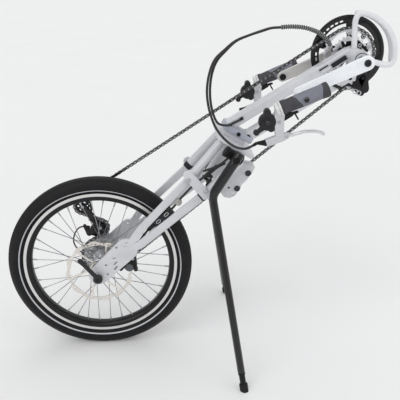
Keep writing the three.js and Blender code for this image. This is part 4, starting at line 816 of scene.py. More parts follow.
# Operators: one for each piece or group of like pieces


def bolt_head(point, y, side, radius, depth=3.0, segments=24):
    """A cap screw's head on a face at y, with a round socket sunk in it, looking out along side."""
    r, rim = radius, radius * 0.55
    profile = [[0.0001, 0.0], [r * 0.62, 0.0], [r * 0.92, 0.0], [r, depth * 0.12], [r, depth * 0.8],
               [r * 0.9, depth], [rim, depth], [rim * 0.94, depth - 0.3], [rim * 0.9, depth * 0.35],
               [0.0001, depth * 0.35]]
    return turned(profile, lifted(point, y), segments, (0, side, 0))


CAMERA_PLACE = (-0.0669, -1.47218, 1.01797)
CAMERA_TILT, CAMERA_TURN = 90 - 21.75, -3.22
LENS, FILM = 53.4, 36
FLOOR_REACH, FLOOR_LEVEL = 30, -0.0005
LAMPS = (("key", (-1.6, -2.2, 2.9), 50, 1.0), ("fill", (2.4, -1.6, 1.8), 60, 0.4),
         ("top", (0.2, 0.6, 3.2), 70, 0.55), ("back", (0.6, 2.8, 1.6), 60, 0.25))


class HANDCYCLE_OT_stage(bpy.types.Operator):
    """Makes the camera, the pale floor and the soft studio lamps"""

    bl_idname = "handcycle.stage"
    bl_label = "Stage"

    def execute(self, context):
        """The camera stands where the photograph was taken from; the lamps are large and soft."""
        scene = context.scene
        eye = bpy.data.cameras.new("camera")
        eye.lens, eye.sensor_width = LENS, FILM
        eye.clip_end = 60
        camera = bpy.data.objects.new("camera", eye)
        camera.location = CAMERA_PLACE
        camera.rotation_euler = (math.radians(CAMERA_TILT), 0, math.radians(CAMERA_TURN))
        scene.collection.objects.link(camera)
        scene.camera = camera
        floor = bpy.data.meshes.new("floor")
        corners = ((-1, -1), (1, -1), (1, 1), (-1, 1))
        floor.from_pydata([(x * FLOOR_REACH, y * FLOOR_REACH, FLOOR_LEVEL) for x, y in corners], [],
                          [(0, 1, 2, 3)])
        floor.materials.append(SHADES["floor"])
        ground = bpy.data.objects.new("floor", floor)
        scene.collection.objects.link(ground)
        for name, spot, wide, strength in LAMPS:
            lamp = bpy.data.lights.new(name, "SUN")
            lamp.energy, lamp.angle = strength, math.radians(wide)
            holder = bpy.data.objects.new(name, lamp)
            holder.location = spot
            holder.rotation_euler = (Vector((0, 0, 0.4)) - Vector(spot)).to_track_quat("-Z", "Y").to_euler()
            scene.collection.objects.link(holder)
        world = bpy.data.worlds.new("studio")
        world.use_nodes = True
        scene.world = world
        soft = world.node_tree.nodes["Background"]
        soft.inputs["Color"].default_value = (0.98, 0.99, 1.0, 1)
        soft.inputs["Strength"].default_value = 0.5
        scene.view_settings.view_transform = "Standard"
        return {"FINISHED"}


class HANDCYCLE_OT_tyre_and_rim(bpy.types.Operator):
    """Makes the tyre and the deep black rim with its brake track"""

    bl_idname = "handcycle.tyre_and_rim"
    bl_label = "Tyre and rim"

    def execute(self, context):
        """The section is a ring of points: bead, bulging side and flatter crown, swung round the axle."""
        half = context.scene.handcycle_wheel.tyre_width * 500
        turn = np.linspace(-2.30, 2.30, 33)
        out = half * np.sin(np.clip(turn, -math.pi, math.pi))
        reach = 229.5 + 20.5 * np.cos(turn)
        reach = np.where(np.abs(turn) < 0.6, 250 - 9.36 * (1 - np.cos(turn)), reach)
        reach = np.minimum(reach, 249.9)
        outer = np.stack([reach, out], axis=-1)
        lip = np.array([[212.0, 12.6], [209.6, 11.4], [202.0, 11.2], [202.0, 8.0]])
        section = np.concatenate([(lip * [1, -1])[::-1], outer, lip])
        tyre = ring_of(section, AXLE, 160)
        piece("tyre_casing", "tyre", "wheel", [tyre], ["tyre"], 60)
        side = [[209.0, 13.9], [208.2, 14.0], [192.5, 14.0], [190.2, 12.6], [187.6, 9.0], [187.0, 6.5]]
        back = [[reach, -out] for reach, out in side[::-1]]
        inner = [[209.0, -12.1], [201.0, -11.6], [197.0, -9.0], [195.5, 0.0], [197.0, 9.0], [201.0, 11.6],
                 [209.0, 12.1]]
        rim = ring_of(side + [[187.0, 0.0]] + back + inner, AXLE, 144)
        piece("rim_hoop", "rim", "wheel", [rim], ["rim"])
        stem = turned([[0.001, -2], [3.4, -2], [3.4, 1], [2.6, 2], [2.6, 20], [2.9, 21], [2.9, 30],
                       [1.6, 32], [0.001, 32]], slant(96) * 187.5, 16, -slant(96))
        piece("valve_stem", "plastic", "wheel", [stem], (), 35)
        return {"FINISHED"}


class HANDCYCLE_OT_spokes(bpy.types.Operator):
    """Makes the crossed spokes of both sides with their nipples"""

    bl_idname = "handcycle.spokes"
    bl_label = "Spokes"

    def execute(self, context):
        """Each spoke is a thin six-sided rod from its flange hole to the rim, three crossings on."""
        radius = context.scene.handcycle_wheel.spoke_thickness * 500
        section = round_section(radius, 6)
        turn = 360 / SPOKES
        for word, side in LEFT_RIGHT:
            rods, nipples = [], []
            for number in range(SPOKES):
                hand = 1 if number % 2 else -1
                angle = (number + side / 4) * turn
                foot = polar(MIDDLE, angle - hand * CROSSINGS * turn, 23.5)
                start = lifted(foot, side * (30 + hand * 1.9))
                end = lifted(polar(MIDDLE, angle, 188.0), side * 3.0)
                way = unit(end - start)
                rods.append(carried(section, [start, along(start, end, 0.5), end - way * 6]))
                nipples.append(carried(round_section(2.1, 8),
                                       [end - way * 15, end - way * 14, end - way * 3, end], [0.6, 1, 1, 1]))
                nipples.append(drum(lifted(foot, 0), 2.1, side * 30 + (hand * 2.9 - 0.6),
                                    side * 30 + (hand * 2.9 + 0.6), 0.4, 8))
            piece(f"spoke_set_{word}", "spoke", "wheel", rods, [f"spokes_{word}"], 35)
            piece(f"spoke_nipples_{word}", "steel", "wheel", nipples, (), 35)
        return {"FINISHED"}


class HANDCYCLE_OT_hub(bpy.types.Operator):
    """Makes the hub shell, its axle, locknuts, end caps and quick release lever"""

    bl_idname = "handcycle.hub"
    bl_label = "Hub and release lever"

    def execute(self, context):
        """The shell is one turned profile with two flanges; the lever is a flat section along a bend."""
        shell = [[6.4, -60], [13.6, -60], [13.9, -59.4], [13.9, -51.2], [21.4, -51], [21.9, -50.4],
                 [21.9, -46.5], [20.5, -44.5], [17.2, -42.5], [16.4, -36], [17, -33.4], [24.6, -32.6],
                 [25.8, -31.6], [25.8, -29], [24.8, -27.8], [16, -26], [14.2, -22], [13.2, -14], [13, 0],
                 [13.2, 14], [14.2, 22], [16, 26], [24.8, 27.8], [25.8, 29], [25.8, 31.6], [24.6, 32.6],
                 [16.2, 33.2], [15.8, 37], [6.4, 37]]
        shell = ring_of(shell + [[6.4, 0]], AXLE, 64)
        piece("hub_barrel", "hub", "wheel", [shell], ["hub_shell"])
        parts = [drum(AXLE, 6.0, -85.5, 85.5, 0.6, 32)]
        parts += [bored(AXLE, 9.4, 6.05, -67.6, -60.6, 0.8, 32), bored(AXLE, 9.4, 6.05, 65.8, 67.6, 0.4, 32),
                  bored(AXLE, 11, 6.05, 76.4, 85.8, 1.2, 40), bored(AXLE, 11, 6.05, -85.8, -76.4, 1.2, 40)]
        parts.append(hexagon(AXLE, 15, 80, 86.0))
        piece("axle_and_caps", "steel", "frame", parts, ["hub_axle"])
        line = smooth_line([[4, -95, -6], [-6, -96, 10], [-20, -96.5, 28], [-34, -97, 46], [-46, -97, 60]],
                           28)
        wide = np.interp(np.linspace(0, 1, 28), [0, 0.3, 0.75, 0.92, 1], [1.25, 0.95, 0.9, 1.12, 0.7])
        thin = np.interp(np.linspace(0, 1, 28), [0, 0.3, 0.8, 1], [1.0, 0.8, 0.75, 0.5])
        blade = carried(box_section(7.0, 12.5, 3.0, 5), line, np.stack([thin, wide], axis=-1))
        cam = knob([[6.5, -99.6], [11.0, -99.2], [12.3, -97.6], [12.3, -88.6], [11.2, -87.2], [7, -86.6]],
                   AXLE, 40)
        piece("release_blade", "gloss_black", "release_lever", [blade, cam],
              ["release_lever"], 40)
        piece("release_pin", "black", "release_lever", [drum(AXLE, 4.2, -100, -98.8, 0.5, 24)],
              (), 35)
        return {"FINISHED"}


class HANDCYCLE_OT_rotor(bpy.types.Operator):
    """Makes the wavy brake rotor with its holes, carrier and bolts"""

    bl_idname = "handcycle.rotor"
    bl_label = "Brake rotor"

    def execute(self, context):
        """Outer edge: radius is 87.6 plus 2.5 times a twelve-fold sine wave. Six swept windows and two rows
        of round holes are cut out."""
        hole = context.scene.handcycle_wheel.rotor_hole * 1000
        turn = np.linspace(0, 360, 289)[:-1]
        edge = polar(MIDDLE, turn, 87.6 + 2.5 * np.sin(np.radians(turn * 12)))
        windows = []
        for number in range(6):
            at = number * 60
            far = polar(MIDDLE, at + np.linspace(15, 71, 14),
                        77.6 + 1.0 * np.sin(np.linspace(0, 3 * math.pi, 14)))
            near = polar(MIDDLE, at + np.linspace(49, -1, 8), 28.0)
            windows.append(rounded_outline(np.concatenate([far, near]), 4, 3))
        holes = [circle(MIDDLE, 20.4, 40)]
        for number in range(24):
            at = number * 15 + 4
            reach = (81.4, 82.3, 83.2)[number % 3]
            holes.append(circle(polar(MIDDLE, at, reach), hole, 10))
            holes.append(circle(polar(MIDDLE, at + 6.5, 164.6 - reach), hole * 0.8, 8))
        disc = cut_plate(edge, -52.9, -51.1, [*windows, *holes], 0.2)
        piece("rotor_disc", "rotor", "wheel", [disc], ["brake_rotor"], 25)
        turn = np.linspace(0, 360, 73)[:-1]
        star = polar(MIDDLE, turn, 23.5 + 2.2 * np.cos(np.radians(turn * 6)))
        carrier = cut_plate(star, -54.4, -51.3, [circle(MIDDLE, 14.2, 36)], 0.5)
        piece("rotor_carrier", "black", "wheel", [carrier])
        bolts = [bolt_head(polar(MIDDLE, number * 60, 22), -54.3, -1, 2.9, 1.6, 12) for number in range(6)]
        piece("rotor_bolts", "steel", "wheel", bolts)
        return {"FINISHED"}


class HANDCYCLE_OT_caliper(bpy.types.Operator):
    """Makes the mechanical disc caliper with its knurled adjuster and cable arm"""

    bl_idname = "handcycle.caliper"
    bl_label = "Brake caliper"

    def execute(self, context):
        """Body: two turned halves either side of the rotor's slot; the adjuster's edge is a fine wave."""
        at = np.array([81.0, 17.0])
        near = knob([[6, -65], [11.2, -64.8], [12.8, -63.2], [12.8, -55.4], [11.4, -54.6], [4, -54.6]],
                    lifted(at, 0), 40)
        far = knob([[4, -49.4], [11.4, -49.4], [12.8, -48.6], [12.8, -41], [11.4, -39.4], [6, -39.2]],
                   lifted(at, 0), 40)
        bridge = strap((94, 18), 7.5, (90, 46), 8.5, 12, -66, -40.5, 1.4)
        foot = strap((84, 30), 8.0, (70, 47), 8.5, 12, -67.4, -55.2, 1.2)
        piece("caliper_body", "black", "frame", [near, far, bridge, foot],
              ["brake_caliper"], 35)
        turn = np.linspace(0, 360, 145)[:-1]
        dial = polar(at, turn, 10.6 + 0.35 * np.sin(np.radians(turn * 24)))
        adjuster = cut_plate(dial, -67.6, -64.6, [circle(at, 3.2, 20)], 0.5)
        piece("caliper_adjuster", "grey_dial", "frame", [adjuster, bolt_head(at, -67.2, -1, 3.4, 0.6)])
        arm = strap((88, 26), 6.2, (97, 55), 5.2, 10, -62.4, -57.6, 0.8, [circle((97, 55), 2.4, 14)])
        more = [strap((79, 33), 5.4, (58, 9), 4.4, 10, -62.2, -57.8, 0.8),
                knob([[3, -66], [5.6, -65.6], [5.8, -56], [3, -55.6]], (98, 0, 10), 24),
                strap((101, 64), 5.0, (92, 44), 6.0, 10, -64.2, -56.8, 0.9)]
        piece("caliper_arm", "gloss_black", "frame", [arm, *more])
        piece("caliper_bolts", "steel", "frame",
              [bolt_head((70, 47), -67.3, -1, 4.0, 2.2), bolt_head((97, 55), -62.3, -1, 3.4, 2.4),
               bolt_head((92, 42), -66, -1, 3.2, 2.0)])
        return {"FINISHED"}


def cog_outline(teeth, tip, depth=5.0, phase=0.0):
    """A sprocket's edge: round valleys between narrow teeth; radius is a sharpened cosine of the angle."""
    turn = np.linspace(0, 1, teeth * 10 + 1)[:-1]
    wave = 0.5 + 0.5 * np.cos(turn * teeth * TAU)
    return polar(MIDDLE, turn * 360 + phase, tip - depth + depth * wave ** 0.8)


class HANDCYCLE_OT_cassette(bpy.types.Operator):
    """Makes the stack of toothed cogs with spacers and lockring"""

    bl_idname = "handcycle.cassette"
    bl_label = "Cassette"

    def execute(self, context):
        """Each cog is a toothed plate with windows; spacers are turned rings."""
        cogs, rings = [], []
        for number, teeth in enumerate((LARGEST_COG_TEETH, 24, 20, 17, 14)):
            y = CHAIN_Y + number * COG_STEP
            tip = teeth * CHAIN_PITCH / TAU + (0.4 if number else 0.2)
            holes = [circle(MIDDLE, 16.5, 36)]
            if teeth >= 20:
                for k in range(8):
                    a, b = k * 45 + 6, k * 45 + 38
                    far = polar(MIDDLE, np.linspace(a, b, 8), tip - 10)
                    near = polar(MIDDLE, np.linspace(b - 4, a + 4, 6), 22)
                    holes.append(rounded_outline(np.concatenate([far, near]), 2, 3))
            cogs.append(cut_plate(cog_outline(teeth, tip), y - 0.95, y + 0.95, holes, 0.3))
            rings.append(bored(AXLE, 18.6, 16.4, y + 0.9, y + 3.7, 0.3, 40))
        piece("cog_stack", "cog", "cassette", cogs, ["cassette"], 25)
        rings.append(bored(AXLE, 17.0, 6.5, 37.4, 63.6, 0.5, 40))
        rings.append(bored(AXLE, 20.5, 11.5, 62.6, 65.2, 0.6, 48))
        piece("cog_spacers", "black", "cassette", rings)
        return {"FINISHED"}


# Each run: foot, joint and head, the head's offset along Y, and the arm's depth
FORK_RUNS = {"upper": ((112, 126), (238, 254), (324, 351), 38, 20),
             "lower": ((108, 83), (274, 213), (373, 304), 50, 22)}


def run_offset(run):
    """How far from the middle plane a fork run lies at its joint."""
    foot, joint, head, head_offset, _ = run
    share = math.dist(foot, joint) / (math.dist(foot, joint) + math.dist(joint, head))
    return DROPOUT_Y + (head_offset - DROPOUT_Y) * share


class HANDCYCLE_OT_fork_blades(bpy.types.Operator):
    """Makes each side's dropout with its slots and the two flat arms that leave it"""

    bl_idname = "handcycle.fork_blades"
    bl_label = "Fork blades"

    def execute(self, context):
        """Arms: a rounded rectangle carried from the dropout's knee through the foot to the joint."""
        corner = context.scene.handcycle_frame.arm_rounding * 1000
        edge = context.scene.handcycle_frame.plate_edge * 1000
        for word, side in LEFT_RIGHT:
            parts = []
            slots = [slot_outline((46, 35), 45, 14, 1.8), slot_outline((46.4, 21.3), 52, 14, 1.8),
                     slot_outline((43, 50), 0, 8, 1.4)]
            slots += [circle(spot, 3.1, 16) for spot in
                      ((51, 81), (73, 85), (79, 93), (21, 30), (24, 3), (8, -10))[0 if side < 0 else 1:]]
            low, high = side * DROPOUT_Y - 4, side * DROPOUT_Y + 4
            outline = strap_outline(MIDDLE, 26, KNEE, 30 if side < 0 else 24, 24)
            parts.append(cut_plate(outline, low, high, [circle(MIDDLE, 6.3, 28), *slots], edge))
            for run in FORK_RUNS.values():
                foot, joint, _, _, depth = run
                knee, heel = (lifted(spot, side * DROPOUT_Y) for spot in (along(KNEE, foot, 0.15), foot))
                end = lifted(joint, side * run_offset(run))
                way = unit(end - heel)
                line = [knee, along(knee, heel, 0.75), heel + way * 8, along(heel, end, 0.5),
                        end - way * 1.2, end - way * 0.3, end]
                less = [[0.82, 0.95], [0.86, 0.98], [1, 1], [1, 1], [1, 1], [0.93, 0.97], [0.86, 0.93]]
                parts.append(carried(box_section(10, depth, corner, 5), line, less))
            if side > 0:
                parts.append(strap(MIDDLE, 23.4, (6, 86), 9, 14, low + 0.4, high - 0.4, edge,
                                   [circle(MIDDLE, 6.3, 28)]))
            piece(f"blade_{word}", "paint", "frame", parts, [f"fork_blade_{word}"], 35)
        return {"FINISHED"}


def crown_point(reach, across=0.0):
    """A point [x, z] at a height above the crown's middle plane and along it."""
    way = heading(*CROWN_EDGE)
    foot = along(*CROWN_EDGE, 0.5)
    return polar(polar(foot, way + 90, reach), way, across)


class HANDCYCLE_OT_fork_tubes(bpy.types.Operator):
    """Makes the four round fork tubes that run from the arms up to the crown"""

    bl_idname = "handcycle.fork_tubes"
    bl_label = "Fork tubes"

    def execute(self, context):
        """A circle carried in a straight line, with a rolled lip where the tube leaves its arm."""
        for word, side in LEFT_RIGHT:
            for kind, run in FORK_RUNS.items():
                foot, joint, head, head_offset, depth = run
                a, b = lifted(joint, side * run_offset(run)), lifted(head, side * head_offset)
                way = unit(b - a)
                line = [a + way * 0.4, a + way * 1.0, a + way * 2.4, a + way * 12, a + way * 13,
                        along(a, b, 0.6), b]
                tube = carried(round_section(11.7, 40), line, [0.86, 0.97, 1, 1, 1, 1, 1])
                piece(f"fork_{kind}_pipe_{word}", "paint", "frame", [tube],
                      [f"fork_{kind}_tube_{word}"], 40)
                width = 18 if kind == "upper" and side > 0 else 9
                band = carried(round_section(12.1, 40),
                               [a + way * 3, a + way * 3.4, a + way * (width - 0.4), a + way * width],
                               [0.97, 1, 1, 0.97])
                if kind == "lower":
                    back = unit(lifted(foot, side * DROPOUT_Y) - a)
                    band = eased_bar(a + back * 2, a + back * 5.5, box_section(11.2, depth + 1.2, 3, 5), 0.3)
                piece(f"fork_{kind}_seam_{word}", "plastic", "frame", [band], (), 40)
        return {"FINISHED"}


class HANDCYCLE_OT_link_bridge(bpy.types.Operator):
    """Makes the link plates, their bolts and the cross pin between the arms"""

    bl_idname = "handcycle.link_bridge"
    bl_label = "Link bridge"

    def execute(self, context):
        """Each plate is a strap outline thickened along Y; the pin is a turned rod."""
        inner = max(run_offset(run) for run in FORK_RUNS.values()) + 12
        outer = inner + 4
        plates, bolts = [], []
        for side in (-1, 1):
            low, high = sorted((side * inner, side * outer))
            top = (239, 276) if side < 0 else (244, 266)
            plates.append(strap(top, 12.5, (284, 222), 12.5, 16, low, high, 1.2))
            for spot in ((239, 262), (283, 232)):
                bolts.append(bolt_head(spot, side * outer, side, 5.5, 2.9))
                bolts.append(bored(lifted(spot, 0), 7.0, 4,
                                   *sorted((side * (outer - 0.2), side * (outer + 0.6))), 0.3, 28))
        plates.append(drum((263, 0, 233), 6, -outer + 0.5, outer - 0.5, 0.6, 28))
        piece("link_plates", "paint", "frame", plates, ["link_bridge"])
        piece("link_bolts", "steel", "frame", bolts)
        return {"FINISHED"}


def crown_block(name, shade, low, high, front, rear, half, corner, edge, replaces):
    """A block on the crown: a rounded rectangle seen along the steering axis, carried from low to high."""
    section = box_section(2 * half, rear - front, corner, 6)
    a, b = (lifted(crown_point(reach, (front + rear) / 2), 0) for reach in (low, high))
    piece(name, shade, "frame", [eased_bar(a, b, section, edge)], replaces, 35)


class HANDCYCLE_OT_crown(bpy.types.Operator):
    """Makes the crown plate with neck and steerer, and the grey cover over it"""

    bl_idname = "handcycle.crown"
    bl_label = "Crown"

    def execute(self, context):
        """Plate, neck and cover are rounded blocks; the steerer and nut are turned."""
        span = math.dist(*CROWN_EDGE) / 2
        crown_block("crown_flange", "paint", -4.9, 4.9, -span - 6.9, span + 13.9, 75.8, 9, 1.3,
                    ["crown_plate"])
        crown_block("crown_neck", "paint", 4, 17, -span + 7, span - 14, 26, 5, 0.8, ())
        crown_block("crown_lid", "cover", 17.4, 33.2, -span, span, 33.8, 9, 2.2,
                    ["crown_cover"])
        up = slant(STEERING_LEAN)
        centre = lifted(crown_point(0), 0)
        parts = [drum(centre, 15.9, -13.6, -4.6, 0.8, 40, up), drum(centre, 9, -126, -13, 0.6, 32, up)]
        piece("steerer", "steel", "frame", parts)
        nut = [hexagon(centre, 24, -127.2, -118.6, up)]
        piece("steerer_nut", "black", "frame", nut)
        bolts = []
        spot = crown_point(25.3)
        for side in (-1, 1):
            bolts.append(bolt_head(spot, side * 33.6, side, 5.2, 2.9))
        for across in (-30, 26):
            for side in (-1, 1):
                bolts.append(turned([[0.001, 0], [4.6, 0], [4.8, 0.4], [4.8, 2.2], [4.2, 2.8], [2.6, 2.8],
                                     [2.4, 1.2], [0.001, 1.2]],
                                    lifted(crown_point(33.0, across), side * 26.5), 20, up))
        piece("cover_bolts", "black", "frame", bolts)
        return {"FINISHED"}


def trimmed(sheet, point, normal):
    """A straight sheet whose first row is slid along the sheet onto a plane."""
    grid = sheet[0]
    way = grid[0] - grid[1]
    grid[0] += way * (((point - grid[0]) @ normal) / (way @ normal))[:, None]
    return sheet


class HANDCYCLE_OT_boom(bpy.types.Operator):
    """Makes the boom's two box rails, the crank bracket's shell and its web"""

    bl_idname = "handcycle.boom"
    bl_label = "Boom"

    def execute(self, context):
        """Each rail is a rounded rectangle carried from the cover's top plane to the bracket."""
        corner = context.scene.handcycle_frame.rail_rounding * 1000
        section = box_section(40, 24, corner, 6)
        way = heading(*CROWN_EDGE)
        ends = (("upper", CROWN_EDGE[0], 18, (641, 564.6)), ("lower", CROWN_EDGE[1], -10, (646, 508)))
        for word, foot, seat, end in ends:
            start = polar(polar(foot, way, seat), way + 90, 33.6)
            line = along(lifted(start, 0), lifted(end, 0), np.linspace(0, 1, 14)[:, None])
            rail = trimmed(carried(section, line), lifted(crown_point(33.0), 0), slant(way + 90))
            piece(f"{word}_rail", "paint", "frame", [rail], [f"boom_{word}_rail"], 40)
        centre = lifted(BRACKET, 0)
        shell = [bored(centre, 22, 8.4, -60, 31, 1.4, 56)]
        shell.append(eased_bar(centre, [647.9, 0, 496.8], box_section(40, 22, 4, 6), 1.5))
        piece("shell_and_web", "paint", "frame", shell, ["bracket_shell"], 35)
        cups = [bored(centre, 20.5, 8.5, -64.5, -59.6, 1.0, 48),
                bored(centre, 19.5, 8.5, 30.8, 31.6, 0.3, 48)]
        piece("bearing_cups", "paint", "frame", cups)
        lines = [bored(centre, 20.9, 18.0, -60.6, -60.0, 0.2, 48),
                 bored(centre, 17.4, 15.6, -64.9, -64.4, 0.1, 48)]
        stop = [eased_bar([595, -22.6, 534], [629, -22.6, 556], box_section(4.6, 11.6, 1.6, 4), 1.0),
                strap((566, 524), 1.6, (584, 535), 1.6, 8, -23.4, -20.2, 0.4)]
        piece("rail_stop", "plastic", "frame", stop)
        fitting = [strap((572, 522), 3.6, (589, 532), 4.2, 8, -23.6, -20.2, 0.6)]
        piece("rail_fitting", "alloy", "frame", fitting)
        piece("bearing_seals", "dark_steel", "frame", lines)
        return {"FINISHED"}


class HANDCYCLE_OT_guard_hoop(bpy.types.Operator):
    """Makes the white guard hoop round the chainring"""

    bl_idname = "handcycle.guard_hoop"
    bl_label = "Guard hoop"

    def execute(self, context):
        """Near tube: out along one leg, round the arc and back; far tube: the arc, tied by three bars."""
        radius = context.scene.handcycle_frame.hoop_tube * 1000

        def at(turn, reach, y=0.0):
            return lifted(polar(BRACKET, turn, reach), y)

        near = [at(93, 20), at(93, 45), at(93, 72), at(92.4, 86), at(89.5, 97)]
        near += [at(turn, HOOP_REACH) for turn in np.linspace(84, -6, 14)]
        near += [at(-11.5, 97), at(-14.4, 86), at(-15, 72), at(-15, 45), at(-15, 20)]
        parts = [carried(round_section(radius, 20), smooth_line(near, 130))]
        far = np.array([at(turn, HOOP_REACH, 22) for turn in np.linspace(88, -8, 60)])
        ends = np.concatenate([[0.35, 0.8, 0.96], np.ones(54), [0.96, 0.8, 0.35]])
        parts.append(carried(round_section(radius, 20), far, ends))
        parts += [drum(at(turn, HOOP_REACH), 5, 0, 22, 0.3, 16) for turn in (88, 38, -8)]
        piece("hoop_tubes", "hoop_paint", "frame", parts, ["guard_hoop"], 50)
        return {"FINISHED"}


TIP = polar(BRACKET, CRANK_ANGLE, CRANK_LENGTH)


class HANDCYCLE_OT_cranks(bpy.types.Operator):
    """Makes the crank arms, the axle between them and the handles' axles"""

    bl_idname = "handcycle.cranks"
    bl_label = "Cranks"

    def execute(self, context):
        """Each arm is a strap outline with rounded edges; axles, nuts and caps are turned."""
        for word, side in LEFT_RIGHT:
            low, high = sorted((side * 100, side * 112))
            outline = strap_outline(BRACKET, 17, TIP, 13, 24)
            arm = cut_plate(outline, low, high, [circle(BRACKET, 8.3, 32), circle(TIP, 5.3, 24)], 1.6)
            # The near arm takes the lit copy of the paint (painted light) and the far arm its shaded copy
            # (painted shade).
            piece(f"crank_bar_{word}", "crank_paint_painted_light" if side < 0 else "far_crank_paint_painted_shade", "crank", [arm],
                  [f"crank_arm_{word}"])
            way = (0, side, 0)
            tip = lifted(TIP, 0)
            rod = [knob([[4.8, 96], [5, 96.3], [5, 186.4], [4.2, 187]], tip, 28, way),
                   hexagon(tip, 16, 95.8, 99.7, way), bored(tip, 9, 4.9, 112.2, 113.4, 0.3, 32, way),
                   hexagon(tip, 15, 113.3, 117.6, way)]
            # The near spindle takes the same lit copy of the crank paint: painted light.
            piece(f"handle_spindle_{word}", "black" if side > 0 else "crank_paint_painted_light", "crank", rod,
                  [f"handle_axle_{word}"])
            cap = [turned([[0.001, 187.6], [4.2, 187.6], [4.6, 188.0], [4.6, 189.4], [4.4, 192.7],
                           [3.9, 193.0], [0.001, 193.1]], tip, 32, way)]
            piece(f"handle_cap_{word}", "plastic", "crank", cap)
        centre = lifted(BRACKET, 0)
        axle = [drum(centre, 8, -112, 112, 0.6, 40)]
        piece("crank_shaft", "dark_steel", "crank", axle, ["crank_axle"])
        caps = []
        for side in (-1, 1):
            caps.append(turned([[0.001, 112], [6.1, 112], [6.4, 112.6], [6.4, 114.4], [5.7, 115.3],
                                [4.6, 115.3], [4.3, 113.2], [0.001, 113.2]], centre, 40, (0, side, 0)))
        piece("crank_caps", "plastic", "crank", caps)
        return {"FINISHED"}


def pitch_radius(teeth):
    """The radius of the circle through the rollers' centres on a sprocket."""
    return CHAIN_PITCH / 2 / math.sin(math.pi / teeth)


def belt_line():
    """The chain's closed centre line [x, z]: an arc on each sprocket and straight runs between them. A run's
    heading is that between the centres plus asin of the difference of signed radii over the distance."""
    stops = [(BRACKET, pitch_radius(RING_TEETH), 1), (TENSION, pitch_radius(PULLEY_TEETH), 1),
             (GUIDE, pitch_radius(PULLEY_TEETH), -1), (np.zeros(2), pitch_radius(LARGEST_COG_TEETH), 1)]

    def tangent(a, b):
        across = (a[2] * a[1] - b[2] * b[1]) / math.dist(a[0], b[0])
        return heading(a[0], b[0]) + math.degrees(math.asin(across))

    rows = []
    for number, stop in enumerate(stops):
        centre, radius, hand = stop
        before = tangent(stops[number - 1], stop) - hand * 90
        after = tangent(stop, stops[(number + 1) % 4]) - hand * 90
        while (after - before) * hand < 0:
            after += hand * 360
        while (after - before) * hand > 360:
            after -= hand * 360
        rows.append(polar(centre, np.linspace(before, after, 60), radius))
    loop = np.concatenate(rows)
    loop = np.concatenate([loop, loop[:1]])
    length = np.concatenate([[0], np.cumsum(np.linalg.norm(np.diff(loop, axis=0), axis=1))])
    count = 2 * round(length[-1] / CHAIN_PITCH / 2)
    even = np.arange(count) * length[-1] / count
    return np.stack([np.interp(even, length, loop[:, c]) for c in (0, 1)], axis=-1)


def prism(outline, low, high):
    """A plain plate: an outline, its copy further along Y, and the wall between."""
    loop = np.asarray(outline, float)
    count = len(loop)
    points = np.concatenate([np.column_stack([loop[:, 0], np.full(count, y), loop[:, 1]]) for y in (low,
                                                                                                    high)])
    wall = [(i, (i + 1) % count, (i + 1) % count + count, i + count) for i in range(count)]
    return points, [tuple(range(count))[::-1], tuple(range(count, 2 * count)), *wall]


def repeated(part, spots):
    """Copies of a plate as one: each is turned in the XZ plane and moved to its [degrees, x, z]."""
    points, faces = part
    rows, polygons = [], []
    for number, (degrees, x, z) in enumerate(spots):
        c, s = math.cos(math.radians(degrees)), math.sin(math.radians(degrees))
        rows.append(np.column_stack([points[:, 0] * c - points[:, 2] * s + x, points[:, 1],
                                     points[:, 0] * s + points[:, 2] * c + z]))
        polygons += [tuple(i + number * len(points) for i in face) for face in faces]
    return np.concatenate(rows), polygons


class HANDCYCLE_OT_chain(bpy.types.Operator):
    """Makes the roller chain link by link"""

    bl_idname = "handcycle.chain"
    bl_label = "Chain"

    def execute(self, context):
        """A link's plate is round at both pins with a waist between; outer and inner links take turns."""
        line = belt_line()
        ahead = np.roll(line, -1, axis=0)
        turns = np.degrees(np.arctan2(ahead[:, 1] - line[:, 1], ahead[:, 0] - line[:, 0]))
        half = CHAIN_PITCH / 2
        round_end = polar((half, 0), np.linspace(-100, 100, 7), 4.1)
        waist = np.array([[0.0, 3.0]])
        plate = np.concatenate([round_end, waist, -round_end, -waist])
        middle = (line + ahead) / 2
        spots = np.column_stack([turns, middle])
        plates = []
        for low, high, first in ((2.5, 3.5, 0), (1.5, 2.4, 1)):
            for side in (-1, 1):
                a, b = sorted((CHAIN_Y + side * low, CHAIN_Y + side * high))
                plates.append(repeated(prism(plate, a, b), spots[first::2]))
        piece("chain_plates", "chain", "frame", plates, ["chain"])
        still = np.column_stack([np.zeros(len(line)), line])
        rollers = [repeated(prism(circle(MIDDLE, 3.8, 12), CHAIN_Y - 1.45, CHAIN_Y + 1.45), still),
                   repeated(prism(circle(MIDDLE, 1.9, 8), CHAIN_Y - 4.0, CHAIN_Y + 4.0), still)]
        piece("chain_pins", "steel", "frame", rollers)
        return {"FINISHED"}


